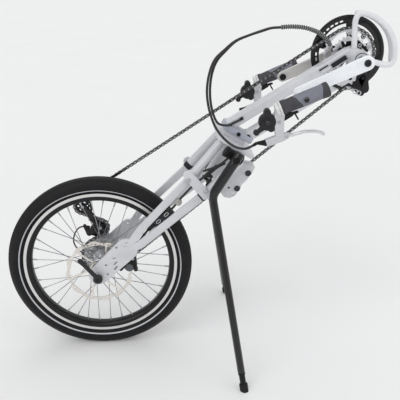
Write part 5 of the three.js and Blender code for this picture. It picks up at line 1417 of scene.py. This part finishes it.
class HANDCYCLE_OT_chainset(bpy.types.Operator):
    """Makes the chainring, the small ring, the spider with its bolts, and the black guard ring"""

    bl_idname = "handcycle.chainset"
    bl_label = "Chainset"

    def execute(self, context):
        """Rings are toothed or round plates with windows; the guard's windows are slots along its circle."""
        line = belt_line()
        near = line[np.argmax(line[:, 0])]
        phase = math.degrees(math.atan2(near[1] - BRACKET[1], near[0] - BRACKET[0])) + 180 / RING_TEETH
        edge = cog_outline(RING_TEETH, pitch_radius(RING_TEETH) + 2.0, 5.4, phase) + BRACKET
        turn = np.linspace(0, 360, 181)[:-1]
        wave = np.clip(np.cos(np.radians((turn - 18) * 5)) * 2.2 - 0.9, 0, 1)
        inner = polar(BRACKET, turn, 56.5 - 9.5 * wave)
        ring = cut_plate(edge, 42.5, 44.5, [inner], 0.35)
        piece("big_ring", "ring", "crank", [ring], ["chainring"])
        edge = cog_outline(SMALL_RING_TEETH, pitch_radius(SMALL_RING_TEETH) + 2.0, 5.0) + BRACKET
        small = cut_plate(edge, 35.6, 37.4, [circle(BRACKET, 33, 60)], 0.35)
        piece("small_ring", "ring", "crank", [small])
        arms, bolts = [], []
        for angle in SPIDER_ANGLES:
            spot = polar(BRACKET, angle, 52)
            arms.append(strap(BRACKET, 8.4, spot, 6.8, 12, 47.6, 52.4, 1.0, [circle(BRACKET, 8.2, 24)]))
            inner_ends = [polar(BRACKET, angle + 36, reach) for reach in (14, 36)]
            arms.append(strap(inner_ends[0], 5, inner_ends[1], 3.6, 8, 34.9, 41, 0.5))
            bolts.append(bored(lifted(spot, 0), 5.2, 2.4, 52.1, 54.2, 0.4, 20))
            bolts.append(drum(lifted(spot, 0), 3.9, 41.2, 53.4, 0.4, 20))
            bolts.append(bolt_head(spot, 42.7, -1, 5.2, 2.0, 20))
        arms.append(bored(lifted(BRACKET, 0), 20, 8.1, 31.9, 54, 1.0, 48))
        arms.append(strap(polar(BRACKET, 61, 36), 3.6, polar(BRACKET, 12, 44), 3.6, 8, 31.9, 34.6, 0.5))
        for spot in (polar(BRACKET, 44, 32), polar(BRACKET, 55, 53)):
            arms.append(drum(lifted(spot, 0), 6.4, 31.9, 34.8, 0.5, 24))
            bolts.append(bored(lifted(spot, 0), 4.9, 2.2, 30.6, 32.2, 0.4, 24))
        piece("spider_arms", "black", "crank", arms, ["chainring_spider"])
        piece("ring_bolts", "steel", "crank", bolts)
        slots = [slot_outline(polar(BRACKET, angle, 81), angle + 90, 9, 2.1, 6)
                 for angle in (106, 115, 124, 133, 143, 181, 190)]
        guard = cut_plate(circle(BRACKET, 95, 160), 53.9, 57.3, [circle(BRACKET, 74, 120), *slots], 0.8)
        tabs = []
        for angle in SPIDER_ANGLES:
            spot = polar(BRACKET, angle, 52)
            tabs.append(strap(spot, 8, polar(BRACKET, angle, 80), 10.5, 12, 54.1, 57.1, 0.8,
                              [circle(spot, 3.0, 16)]))
        piece("guard_plate", "gloss_black", "crank", [guard, *tabs], ["ring_guard"])
        return {"FINISHED"}


class HANDCYCLE_OT_rear_derailleur(bpy.types.Operator):
    """Makes the two toothed pulleys, the cage that holds them and the derailleur's body"""

    bl_idname = "handcycle.rear_derailleur"
    bl_label = "Rear derailleur"

    def execute(self, context):
        """Cage plates are strap outlines; the body is turned knuckles joined by link plates."""
        for word, at in (("guide", GUIDE), ("tension", TENSION)):
            holes = [circle(polar(at, number * 60, 11.5), 3.0, 12) for number in range(6)]
            tip = pitch_radius(PULLEY_TEETH) - 0.2
            wheel = cut_plate(cog_outline(PULLEY_TEETH, tip, 4.6) + at, 42.0, 45.0, holes, 0.4)
            hub = bored(lifted(at, 0), 7.5, 2.8, 40.8, 46.2, 0.4, 28)
            piece(f"{word}_wheel", "plastic", f"{word}_pulley", [wheel, hub],
                  [f"{word}_pulley"])
        inner = strap(GUIDE, 8.6, TENSION, 7.6, 16, 35.5, 36.9, 0.4)
        outer = strap(GUIDE, 8.2, TENSION, 7.2, 16, 50.1, 51.7, 0.4)
        piece("cage_plates", "gloss_black", "frame", [inner, outer], ["derailleur_cage"])
        pins = []
        for at in (GUIDE, TENSION):
            pins += [drum(lifted(at, 0), 2.4, 36, 51.5, 0.3, 16), bolt_head(at, 51.6, 1, 4.0, 1.0),
                     bolt_head(at, 35.6, -1, 4.2, 1.3)]
        bridge = along(GUIDE, TENSION, 0.46)
        pins.append(strap(polar(bridge, 30, 4), 3.4, polar(bridge, 210, 9), 3.0, 8, 36.2, 51, 0.6))
        piece("cage_pins", "steel", "frame", pins)
        box = polar(GUIDE, 208, 22.5)
        body = [turned([[0.001, 52], [12.5, 52], [14.6, 53.2], [14.9, 55], [14.9, 61], [13.6, 64.4],
                        [10, 66.8], [4.4, 67.4], [4.0, 66.2], [0.001, 66.2]], lifted(GUIDE, 0), 44)]
        body.append(turned([[0.001, 53], [9.8, 53], [11.2, 54.2], [11.4, 64.4], [10, 67], [5.2, 67.6],
                            [4.6, 66], [0.001, 66]], lifted(box, 0), 36))
        body.append(strap(box, 10.4, GUIDE, 12, 12, 54, 58.6, 1.4))
        body.append(strap(polar(box, 60, 1), 7.0, polar(GUIDE, 120, 2), 7.6, 12, 61.6, 66.4, 1.6))
        body.append(strap((-47, 86), 4.6, (-36, 62), 7.4, 10, 56, 63, 1.4))
        body.append(strap((-36, 70), 9.0, (-14, 58), 6.0, 12, 55, 60, 1.4))
        piece("mech_body", "gloss_black", "frame", body, ["rear_derailleur"], 35)
        trim = [bolt_head(GUIDE, 66.2, 1, 3.9, 1.2), bolt_head(box, 66.0, 1, 4.2, 1.4)]
        trim.append(bored((box[0] - 8, 0, box[1] - 6), 3.6, 2.6, 56, 62, 0.5, 20))
        trim.append(strap((-30, 70), 3.2, (-12, 82), 3.2, 8, 66.3, 67.6, 0.4))
        piece("mech_trim", "alloy", "frame", trim)
        return {"FINISHED"}


class HANDCYCLE_OT_front_derailleur(bpy.types.Operator):
    """Makes the front derailleur's cage, its body and its clamp arm"""

    bl_idname = "handcycle.front_derailleur"
    bl_label = "Front derailleur"

    def execute(self, context):
        """The cage's plates follow the chain's lower run; the body's straps stand behind them on the web."""
        rise = (pitch_radius(LARGEST_COG_TEETH) - pitch_radius(RING_TEETH)) / math.dist(MIDDLE, BRACKET)
        run = heading(MIDDLE, BRACKET) + math.degrees(math.asin(rise))
        meet = polar(BRACKET, run - 90, pitch_radius(RING_TEETH))
        middle = polar(meet, run, -30)
        ends = [polar(middle, run, reach) for reach in (-24, -8, 8, 24)]
        up = [polar(point, run + 90, lift) for point, lift in zip(ends, (7, 10, 11, 9))]
        down = [polar(point, run - 90, lift) for point, lift in zip(ends, (8, 11, 11, 9))]
        outline = rounded_outline([*up, *down[::-1]], 5, 5)
        window = slot_outline(polar(middle, run - 90, 1), run, 30, 3.4, 8)
        cage = [cut_plate(outline, 36.4, 38.0, [window], 0.4), cut_plate(outline, 49.0, 50.6, [window], 0.4)]
        for end in (0, 3):
            foot = polar(down[end], run + 90, 2.2)
            cage.append(strap(polar(foot, run, -2.6), 1.5, polar(foot, run, 2.6), 1.5, 6, 36.6, 50.4, 0.4))
        piece("front_cage", "steel", "frame", cage, ["front_derailleur"])
        body_at = np.array([676.1, 478.9])
        horn = polar(body_at, 62, 22)
        tail = polar(body_at, -55, 26)
        body = [strap(body_at, 12.8, horn, 9.8, 14, 11, 23, 2.6),
                strap(body_at, 13.6, tail, 8.4, 14, 24, 35.6, 2.6),
                strap(polar(body_at, 180, 4), 8, polar(horn, 200, 5), 7.2, 12, 20, 33, 2.0)]
        body.append(strap((686, 500), 14, (695, 470), 11, 14, 11, 27, 2.2))
        body.append(strap((633, 480), 4.6, (668, 481), 5.6, 10, 20.6, 28, 1.4))
        body.append(strap((606, 487), 4.4, (622, 480), 3.4, 10, -27, -20.3, 1.0))
        body.append(strap((616, 486), 2.0, (668, 513), 2.4, 8, 20.6, 24, 0.6))
        body += [bolt_head(body_at, 11.2, -1, 6.4, 2.6), bolt_head(horn, 11.2, -1, 4.2, 2.2),
                 bolt_head(tail, 24.2, -1, 4.0, 2.2)]
        piece("front_mech_body", "plastic", "frame", body, (), 35)
        clamp = [strap((650, 498), 8.6, body_at, 7.6, 12, 20.4, 26, 1.2),
                 strap(polar(body_at, 160, 6), 4.5, polar(tail, 150, 8), 4.0, 10, 34.6, 36.4, 0.6),
                 strap((600, 493), 3.2, (616, 489), 2.6, 8, -26, -20.3, 0.8),
                 bored((671, 0, 464), 7.2, 4.6, 11, 16, 0.6, 28),
                 bored((680, 0, 460), 6.4, 4.2, 11, 15, 0.6, 28),
                 bored((664, 0, 468), 4.6, 3.0, 20, 24, 0.5, 24)]
        piece("front_mech_clamp", "alloy", "frame", clamp)
        return {"FINISHED"}


def grip_spots():
    """The named points [x, z] of a handle, from the grip's low end to the lever's pivot."""
    low, high = (polar(TIP, GRIP_LEAN, reach) for reach in (-56.5, 56.5))
    root = polar(low, GRIP_LEAN, -2.8)
    elbow = polar(polar(root, -88, 28.5), -178, 4)
    foot = polar(root, -88, 68)
    return {"low": low, "high": high, "root": root, "elbow": elbow, "foot": foot,
            "pivot": polar(foot, CLAMP_LEAN, 15), "shifter": polar(elbow, -178, 25.5)}


class HANDCYCLE_OT_grips(bpy.types.Operator):
    """Makes the two-tone grips and the bushes round their axle holes"""

    bl_idname = "handcycle.grips"
    bl_label = "Grips"

    def execute(self, context):
        """Radius along the grip: a band, a waist, a swell under the palm and a flared upper end."""
        sizes = context.scene.handcycle_handle
        waist, swell = sizes.grip_waist * 1000, sizes.grip_swell * 1000
        share = np.array([0, 0.008, 0.02, 0.075, 0.083, 0.12, 0.22, 0.34, 0.46, 0.58, 0.70, 0.80, 0.88, 0.94,
                          0.975, 0.992, 1.0])
        radius = np.array([14.4, 16.4, 17.1, 17.1, 16.2, waist + 0.2, waist + 0.6, swell - 1.4, swell - 1.0,
                           swell - 1.2, waist + 1.2, waist + 1.1, swell - 0.6, swell, swell - 0.3,
                           swell - 1.6, swell - 4])
        for word, side in LEFT_RIGHT:
            spots = grip_spots()
            a, b = (lifted(spots[end], side * GRIP_Y) for end in ("low", "high"))
            fine = np.unique(np.concatenate([share, np.linspace(0.1, 0.97, 46)]))
            size = np.interp(fine, share, radius)[:, None] * [1.0, 0.985]
            grip = carried(round_section(1.0, 48), along(a, b, fine[:, None]), size)
            piece(f"grip_sleeve_{word}", "grip", f"handle_{word}", [grip], [f"grip_{word}"],
                  40)
            ferrule = [ring_of([[5.4, 15.5], [6.6, 15.5], [6.6, 17.3], [6.2, 17.6], [5.4, 17.6]],
                               lifted(TIP, side * GRIP_Y), 32, (0, way, 0)) for way in (-1, 1)]
            piece(f"grip_bush_{word}", "grey_dial", f"handle_{word}", ferrule)
        return {"FINISHED"}


LEVER_LENGTH = 88
# Shares of the lever's length, along it and across it
LEVER_BOW = ((0, 0), (0.1, 0.0), (0.2, 0.0), (0.35, 0.02), (0.5, 0.03), (0.68, 0.01), (0.82, -0.02),
             (0.93, -0.07), (1.0, -0.14))


class HANDCYCLE_OT_controls(bpy.types.Operator):
    """Makes each handle's control bracket, brake lever, shifter and shift lever"""

    bl_idname = "handcycle.controls"
    bl_label = "Controls"

    def execute(self, context):
        """Brackets are straps and turned barrels; the lever's blade is a flattened round along a bow."""
        thick = context.scene.handcycle_handle.lever_thickness * 500
        for word, side in LEFT_RIGHT:
            y = side * GRIP_Y
            s = grip_spots()
            body = f"handle_{word}"
            tube = slant(GRIP_LEAN)
            low = lifted(s["low"], y)
            collar = [ring_of([[9, -5.2], [17.2, -5.2], [18, -4.4], [18, -1.2], [17.2, -0.4], [9, -0.4]],
                              low, 48, tube)]
            piece(f"grip_collar_{word}", "white", body, collar)
            arms = [strap(s["root"], 11.8, s["elbow"], 12.4, 18, y - 7.6, y + 7.6, 2.4),
                    strap(s["elbow"], 12.6, s["foot"], 9.4, 18, y - 7.8, y + 7.8, 2.6)]
            piece(f"bracket_arm_{word}", "cast", body, arms, (), 35)
            clamp = ring_of([[9.5, -13.5], [15.4, -13.5], [16.4, -12.4], [16.4, -6.4], [15.4, -5.4],
                             [9.5, -5.4]], low, 48, tube)
            piece(f"bracket_clamp_{word}", "white", body, [clamp], (), 35)
            foot, slim = lifted(s["foot"], y), slant(CLAMP_LEAN)
            barrel = [eased_bar(foot - slim * 33.5, foot + slim * 10, box_section(17.4, 17.6, 4, 6), 1.6)]
            for way in (-1, 1):
                ear = strap(polar(s["foot"], CLAMP_LEAN, 9), 6.6, s["pivot"], 6.6, 14,
                            *sorted((y + way * 5.3, y + way * 7.9)), 0.8)
                barrel.append(ear)
            piece(f"lever_body_{word}", "cast", body, barrel, [f"control_bracket_{word}"],
                  35)
            screws = [bolt_head(s["pivot"], y - 7.8, -1, 4.2, 1.6, 20),
                      bolt_head(s["pivot"], y + 7.8, 1, 4.2, 1.6, 20),
                      bolt_head(s["elbow"], y - 7.6, -1, 4.4, 2.2, 20),
                      drum(lifted(s["pivot"], 0), 2.9, y - 7.6, y + 7.6, 0.3, 16)]
            piece(f"bracket_screws_{word}", "steel", body, screws)
            pivot = s["pivot"]
            rows = [polar(polar(pivot, 8, LEVER_LENGTH * reach), 98, LEVER_LENGTH * lift)
                    for reach, lift in LEVER_BOW]
            line = smooth_line([lifted(row, y) for row in rows], 52)
            t = np.linspace(0, 1, 52)
            wide = np.interp(t, [0, 0.06, 0.14, 0.5, 0.85, 0.96, 0.99, 1],
                             [4.4, 4.4, 4.4, 5.0, 5.6, 6.4, 5.2, 2.4])
            tall = np.interp(t, [0, 0.06, 0.14, 0.3, 0.5, 0.85, 0.95, 0.99, 1],
                             [5.6, 5.8, 4.6, 4.2, 4.0, 3.6, 3.9, 3, 1.4])
            blade = carried(round_section(1.0, 20), line, np.stack([wide, tall * thick / 4.5], axis=-1))
            eye = drum(lifted(pivot, 0), 6.2, y - 4.8, y + 4.8, 1.0, 32)
            piece(f"lever_blade_{word}", "lever", f"brake_lever_{word}", [blade, eye],
                  [f"brake_lever_{word}"], 40)
            self.shifter(word, side, y, s["shifter"])
        return {"FINISHED"}

    def shifter(self, word, side, y, at):
        """The shifter's drum with its cover, and the thumb lever with its knob."""
        centre = lifted(at, y)
        way = (0, side, 0)
        drum_parts = [turned([[0.001, -9.8], [15, -9.8], [18.2, -9.2], [19.6, -7.4], [19.9, -5], [19.9, 5.4],
                              [19.0, 8.4], [16.4, 9.8], [0.001, 9.8]], centre, 56, way)]
        drum_parts.append(strap(at, 12, polar(at, 92, 23), 7.5, 14, y - 9.6, y + 9.6, 2.0))
        drum_parts.append(strap(polar(at, -60, 6), 12, polar(at, -58, 17), 8.5, 14, y - 9.2, y + 9.2, 2.0))
        piece(f"shifter_drum_{word}", "plastic", f"handle_{word}", drum_parts,
              [f"shifter_{word}"], 35)
        boot = [knob([[3.4, -20], [3.9, -19], [3.9, -15.4], [4.7, -15], [4.7, -11.6], [5.5, -11.2],
                      [5.5, -7.6], [6.4, -7.2], [6.4, -2.8], [7.6, -2.4], [7.8, 3.4]],
                     lifted((413.6, 385.6), y), 24, (1, 0, 0.03))]
        boot.append(strap((454, 444), 6.2, (469, 452), 5.0, 10, y - 6, y + 5, 1.6))
        boot.append(strap((469, 453), 2.6, (483, 457), 2.6, 8, y - 4, y + 3, 0.8))
        boot.append(strap((478, 453), 1.9, (486, 440), 1.6, 8, y - 3, y + 2, 0.6))
        piece(f"shifter_boot_{word}", "rubber", f"handle_{word}", boot, (), 50)
        knob_at = polar(at, -137, 34)
        lo, hi = sorted((y + side * 10.4, y + side * 14.0))
        arm = [strap(at, 9.4, knob_at, 4.2, 16, lo, hi, 1.0, [circle(at, 6.4, 24)])]
        arm.append(turned([[0.001, 1.2], [5.4, 1.2], [6.8, 2.6], [7, 5], [7, 10], [6.2, 12.6], [4.4, 14],
                           [0.001, 14.2]], lifted(knob_at, y), 32, way))
        piece(f"shift_arm_{word}", "plastic", f"shift_lever_{word}", arm,
              [f"shift_lever_{word}"], 35)
        hub = [turned([[0.001, 9], [5.8, 9], [5.8, 14.2], [4.8, 15], [2.6, 15], [2.4, 13], [0.001, 13]],
                      centre, 28, way)]
        piece(f"shifter_pivot_{word}", "dark_steel", f"handle_{word}", hub)


HANDLE_CABLE = [[394, -170, 385], [384, -168, 378], [368, -160, 369], [348, -148, 370], [332, -138, 378],
                [318, -130, 390], [304, -120, 408], [295, -112, 428], [287, -102, 456], [284, -92, 492],
                [290, -84, 530], [303, -76, 560], [325, -68, 580], [352, -60, 600], [385, -52, 612],
                [415, -43, 620], [440, -34, 626], [462, -30, 627]]
FRAME_CABLE = [
    [462, -26, 627], [440, -31, 626], [415, -37, 620], [386, -44, 611], [355, -52, 599], [330, -59, 578],
    [309, -66, 556], [297, -74, 528], [292, -80, 492], [294, -84, 458], [301, -82, 430], [312, -70, 408],
    [330, -52, 397], [345, -36, 394], [356, -25, 396], [368, -22.8, 401], [380, -22.8, 408]]
WRAP = [[463, -28, 627], [476, -26, 628], [496, -24, 628], [518, -21, 626], [538, -18, 621], [556, -14, 614],
        [572, -9, 604], [585, -4, 592], [593, 0, 581]]
MECH_CABLE = [[64, 79, 52], [40, 82, 28], [28, 88, 2], [4, 92, -22], [-36, 91, -26], [-68, 86, -8],
              [-84, 80, 22], [-80, 74, 52], [-66, 67, 75], [-54, 62, 82], [-44, 60, 83], [-38, 60, 81.6],
              [-32.8, 60, 80.2]]
HOSE = [[312, -57, 296], [292, -58, 279], [274, -60, 262], [258, -61, 250], [240, -62, 232], [220, -62, 210],
        [198, -62, 183], [172, -62, 159], [151, -62, 140], [135, -55, 122], [119, -51, 100], [104, -50, 78],
        [99, -50, 67]]


class HANDCYCLE_OT_cables(bpy.types.Operator):
    """Makes the cable casings with ferrules, the ribbed wrap and the guide block with its buffer"""

    bl_idname = "handcycle.cables"
    bl_label = "Cables"

    def execute(self, context):
        """Casings are circles carried along their routes; the wrap's radius is a wave, one crest a rib."""
        radius = context.scene.handcycle_handle.cable_thickness * 500

        def casing(route, steps, share=1.0):
            return carried(round_section(radius * share, 14), resample(smooth_line(route, 400), steps))

        def ferrules(*routes):
            parts = []
            for route in routes:
                back, tip = np.array(route[-2:], float)
                parts.append(knob([[radius + 0.5, -9], [radius + 0.8, -8.4], [radius + 0.8, -0.8],
                                   [radius + 0.3, 0]], tip, 18, unit(tip - back)))
            return parts

        tails = [casing([[341, -56, 314], [325, -57, 301], [300, -57, 288], [277, -58, 281]], 24),
                 casing([[334, -56, 301], [314, -57, 290], [294, -57, 274], [277, -58, 264]], 24)]
        piece("control_casings", "cable", "frame",
              [casing(HANDLE_CABLE, 110), casing(FRAME_CABLE, 96), *tails],
              ["control_cables"], 60)
        piece("mech_casing", "cable", "frame", [casing(MECH_CABLE, 80, 0.7)],
              ["derailleur_cable"], 60)
        piece("brake_casing", "cable", "frame", [casing(HOSE, 80)], ["brake_hose"], 60)
        piece("cable_ferrules", "black", "frame",
              ferrules(HANDLE_CABLE[::-1], FRAME_CABLE, MECH_CABLE, HOSE), (), 35)
        sleeve = [carried(round_section(6.2, 20), resample(smooth_line(HOSE[8:10], 20), 5))]
        sleeve.append(strap((289, 271), 6.5, (299, 266), 3.4, 8, -61, -55, 1.0))
        sleeve.append(strap((285, 243), 1.9, (297, 260), 2.6, 8, -60, -56, 0.6))
        piece("hose_sleeve", "plastic", "frame", sleeve, (), 40)
        steps = WRAP_RIBS * 8 + 1
        line = resample(smooth_line(WRAP, 400), steps)
        wave = 0.5 - 0.5 * np.cos(np.linspace(0, WRAP_RIBS * TAU, steps))
        piece("wrap_ribs", "wrap", "frame", [carried(round_section(1.0, 18), line, 3.7 + 2.0 * wave ** 0.8)],
              ["cable_wrap"], 60)
        block_at = (172, 159)
        way = heading(block_at, (198, 183))
        spots = [polar(block_at, way, reach) for reach in (-14, 14)]
        holes = [slot_outline(spot, way, 13, 3.2, 8) for spot in spots]
        corners = [polar(polar(block_at, way, reach), way + 90, rise) for reach, rise in
                   ((-28, 7.2), (28, 7.2), (28, -7.2), (-28, -7.2))]
        block = cut_plate(rounded_outline(corners, 3, 5), -67.9, -56.2, holes, 1.0)
        piece("guide_block", "plastic", "frame", [block])
        lining = [cut_plate(slot_outline(spot, way, 14, 4.0, 8), -68.1, -66.6,
                            [slot_outline(spot, way, 11.6, 2.6, 8)], 0.3) for spot in spots]
        piece("block_eyelets", "alloy", "frame", lining)
        buffer = [turned([[0.001, -68], [6, -68], [8.4, -67], [9, -65], [9, -57], [8, -56], [0.001, -56]],
                         (214, 0, 200), 36)]
        piece("cable_buffer", "beige", "frame", buffer, (), 40)
        return {"FINISHED"}


DOCK_CORNERS = [[325, 207], [364, 291], [376, 288], [412, 281], [416, 274], [408, 257], [394, 238],
                [382, 226], [377, 212], [364, 195], [352, 189], [336, 192]]
DOCK_BOLTS = ((398, 258), (370, 216))


class HANDCYCLE_OT_dock(bpy.types.Operator):
    """Makes the steering head tube, the docking plates and their bolts"""

    bl_idname = "handcycle.dock"
    bl_label = "Dock"

    def execute(self, context):
        """Plates: the stepped outline with rounded corners, bored for the bolts and the pin."""
        way = slant(STEERING_LEAN)
        centre = lifted(crown_point(0), 0)
        head = [ring_of([[9.3, -118], [15, -118], [16, -117], [16, -108], [15.2, -106.6], [15.2, -25.4],
                         [16, -24], [16, -15], [15, -14], [9.3, -14]], centre, 48, way)]
        inset = [crown_point(-110), (340, 206), (352, 211), (372, 218),
                 *[DOCK_CORNERS[i] for i in (7, 5, 3)], crown_point(-40, 40), crown_point(-40)]
        head.append(cut_plate(rounded_outline(inset, 3, 3), -7.6, 7.6, (), 0.8))
        piece("steering_tube", "dock", "dock", head, ["steering_head"])
        bolts = []
        for point in DOCK_BOLTS:
            for side in (-1, 1):
                bolts.append(bolt_head(point, side * 15.0, side, 7.0, 4.2, 28))
                bolts.append(bored(lifted(point, 0), 8.2, 5, *sorted((side * 14.9, side * 15.5)), 0.2, 28))
        piece("dock_bolts", "dark_steel", "dock", bolts)
        for word, side in LEFT_RIGHT:
            low, high = sorted((side * 8, side * 15))
            holes = [circle(point, 5.2, 24) for point in DOCK_BOLTS]
            holes.append(circle((359, 202), 4, 24))
            plate = cut_plate(rounded_outline(DOCK_CORNERS, 3.2, 5), low, high, holes, 0.7)
            piece(f"dock_cheek_{word}", "dock", "dock", [plate], [f"dock_plate_{word}"])
            rivet = drum((348, 0, 219), 3.0, *sorted((side * 14.8, side * 15.4)), 0.2, 20)
            piece(f"dock_rivet_{word}", "dark_steel", "dock", [rivet])
        return {"FINISHED"}


class HANDCYCLE_OT_stand(bpy.types.Operator):
    """Makes the two stand legs with their barrels, pins and rubber feet"""

    bl_idname = "handcycle.stand"
    bl_label = "Stand"

    def execute(self, context):
        """A leg is a circle carried round its bend; it narrows to a thinner tube that ends in the foot."""
        radius = context.scene.handcycle_frame.leg_tube * 1000
        for word, side in LEFT_RIGHT:
            front, rear = lifted((330, 340), side * 77), lifted((372, 312), side * 77)
            way = unit(rear - front)
            length = np.linalg.norm(rear - front)
            barrel = [turned([[0.001, 0.8], [8, 0.8], [8.4, 0.2], [12.6, 0], [14, 1.4], [14, 8], [13.4, 9],
                              [13.4, length - 9], [14, length - 8], [14, length - 1.4], [12.6, length],
                              [8.4, length - 0.2], [8, length - 4.5], [0.001, length - 4.5]], front, 44,
                             way)]
            piece(f"barrel_{word}", "black", "frame", barrel, [f"stand_barrel_{word}"], 35)
            spot = lifted(STAND_PIVOT, 0)
            pin = [drum(spot, 4.9, 80, 111, 0.4, 24, (0, side, 0)),
                   bolt_head(STAND_PIVOT, side * 110.9, side, 7, 3.8, 28),
                   bored(spot, 8.6, 5.1, 109.8, 111, 0.3, 28, (0, side, 0))]
            piece(f"barrel_pin_{word}", "black", "frame", pin)
            pivot, bend = lifted(STAND_PIVOT, side * LEG_Y), lifted(STAND_BEND, side * LEG_Y)
            top = lifted(polar(STAND_PIVOT, heading(STAND_BEND, STAND_PIVOT), 20), side * LEG_Y)
            ground = lifted((373, GROUND), side * 246)
            down, up = unit(ground - bend), unit(top - bend)
            t = np.linspace(0, 1, 12)[:, None]
            a, b = bend + up * 16, bend + down * 16
            bow = (1 - t) ** 2 * a + 2 * (1 - t) * t * bend + t ** 2 * b
            foot_start = ground - down * 46
            lower = radius - 3
            upper = np.concatenate([[top, top - up * 0.5, top - up * 1.6, pivot - up * 34.2,
                                     pivot - up * 34.9], bow,
                                    [along(b, foot_start, 0.5), foot_start - down * 1.2,
                                     foot_start - down * 0.3, foot_start]])
            sizes = np.array([radius - 1.4, radius - 0.5, radius, radius, radius,
                              *np.linspace(radius, lower, 12), lower, lower, lower - 0.6, lower - 1.2])
            tube = carried(round_section(1.0, 28), upper, sizes, (0, 0, 1))
            close = np.hypot(tube[0][..., 0] - STAND_PIVOT[0], tube[0][..., 2] - STAND_PIVOT[1]) < 34.6
            tube[0][..., 1] = np.where(close, side * np.maximum(side * tube[0][..., 1], 91.5),
                                       tube[0][..., 1])
            leg = [tube, knob([[8.4, -13], [9.2, -12], [9.2, 12], [8.4, 13]], pivot, 28)]
            tail = [foot_start - down * 2, foot_start, ground - down * 17]
            piece(f"leg_{word}", "gloss_black", f"stand_{word}", leg, [f"stand_leg_{word}"],
                  40)
            inner = [carried(round_section(7.7, 24), tail, None, (0, 0, 1))]
            collar = [carried(round_section(1.0, 28),
                              [foot_start + down * 0.2, foot_start + down * 0.6, foot_start + down * 3.4,
                               foot_start + down * 3.8], [8.6, 9.3, 9.3, 8.6], (0, 0, 1))]
            piece(f"leg_tail_{word}", "black", f"stand_{word}", inner + collar, (), 40)
            foot_line = [ground - down * 18, ground - down * 17, ground - down * 8, ground - down * 4,
                         ground + down * 2, ground + down * 16]
            foot = carried(round_section(1.0, 32), foot_line, [9.8, 10.9, 10.9, 10.4, 10.9, 10.9], (0, 0, 1))
            grid = foot[0]
            reach = np.maximum(0, (GROUND - grid[..., 2])) / down[2]
            grid += down * reach[..., None]
            piece(f"foot_{word}", "rubber", f"stand_{word}", [foot], [f"stand_foot_{word}"],
                  40)
        return {"FINISHED"}


class HANDCYCLE_PT_build(bpy.types.Panel):
    """Sizes, colours and one button for each piece of the handcycle"""

    bl_idname = "HANDCYCLE_PT_build"
    bl_label = "Handcycle"
    bl_space_type = "VIEW_3D"
    bl_region_type = "UI"
    bl_category = "Handcycle"

    def draw(self, context):
        """Lists the sizes and colours, then the operators in the order that main calls them."""
        layout = self.layout
        for name, group in SETTINGS.items():
            box = layout.box()
            for key in group.__annotations__:
                box.prop(getattr(context.scene, name), key)
        for kind in OPERATORS:
            layout.operator(kind.bl_idname, text=kind.bl_label)


SETTINGS = {"handcycle_wheel": HandcycleWheelSizes, "handcycle_frame": HandcycleFrameSizes,
            "handcycle_handle": HandcycleHandleSizes, "handcycle_colours": HandcycleColours}
OPERATORS = (HANDCYCLE_OT_stage, HANDCYCLE_OT_tyre_and_rim, HANDCYCLE_OT_spokes, HANDCYCLE_OT_hub,
             HANDCYCLE_OT_rotor, HANDCYCLE_OT_caliper, HANDCYCLE_OT_cassette, HANDCYCLE_OT_fork_blades,
             HANDCYCLE_OT_fork_tubes, HANDCYCLE_OT_link_bridge, HANDCYCLE_OT_crown, HANDCYCLE_OT_boom,
             HANDCYCLE_OT_guard_hoop, HANDCYCLE_OT_cranks, HANDCYCLE_OT_chainset, HANDCYCLE_OT_chain,
             HANDCYCLE_OT_rear_derailleur, HANDCYCLE_OT_front_derailleur, HANDCYCLE_OT_grips,
             HANDCYCLE_OT_controls, HANDCYCLE_OT_cables, HANDCYCLE_OT_dock, HANDCYCLE_OT_stand)


def register():
    """Registers the sizes, colours, operators and panel, and makes the finishes."""
    for kind in (*SETTINGS.values(), *OPERATORS, HANDCYCLE_PT_build):
        bpy.utils.register_class(kind)
    for name, group in SETTINGS.items():
        setattr(bpy.types.Scene, name, bpy.props.PointerProperty(type=group))
    make_shades(bpy.context.scene.handcycle_colours)


def unregister():
    """Undoes register."""
    for name in SETTINGS:
        delattr(bpy.types.Scene, name)
    for kind in reversed((*SETTINGS.values(), *OPERATORS, HANDCYCLE_PT_build)):
        bpy.utils.unregister_class(kind)


def main():
    """Builds every piece in order."""
    register()
    for kind in OPERATORS:
        family, verb = kind.bl_idname.split(".")
        getattr(getattr(bpy.ops, family), verb)()


if __name__ == "__main__":
    main()
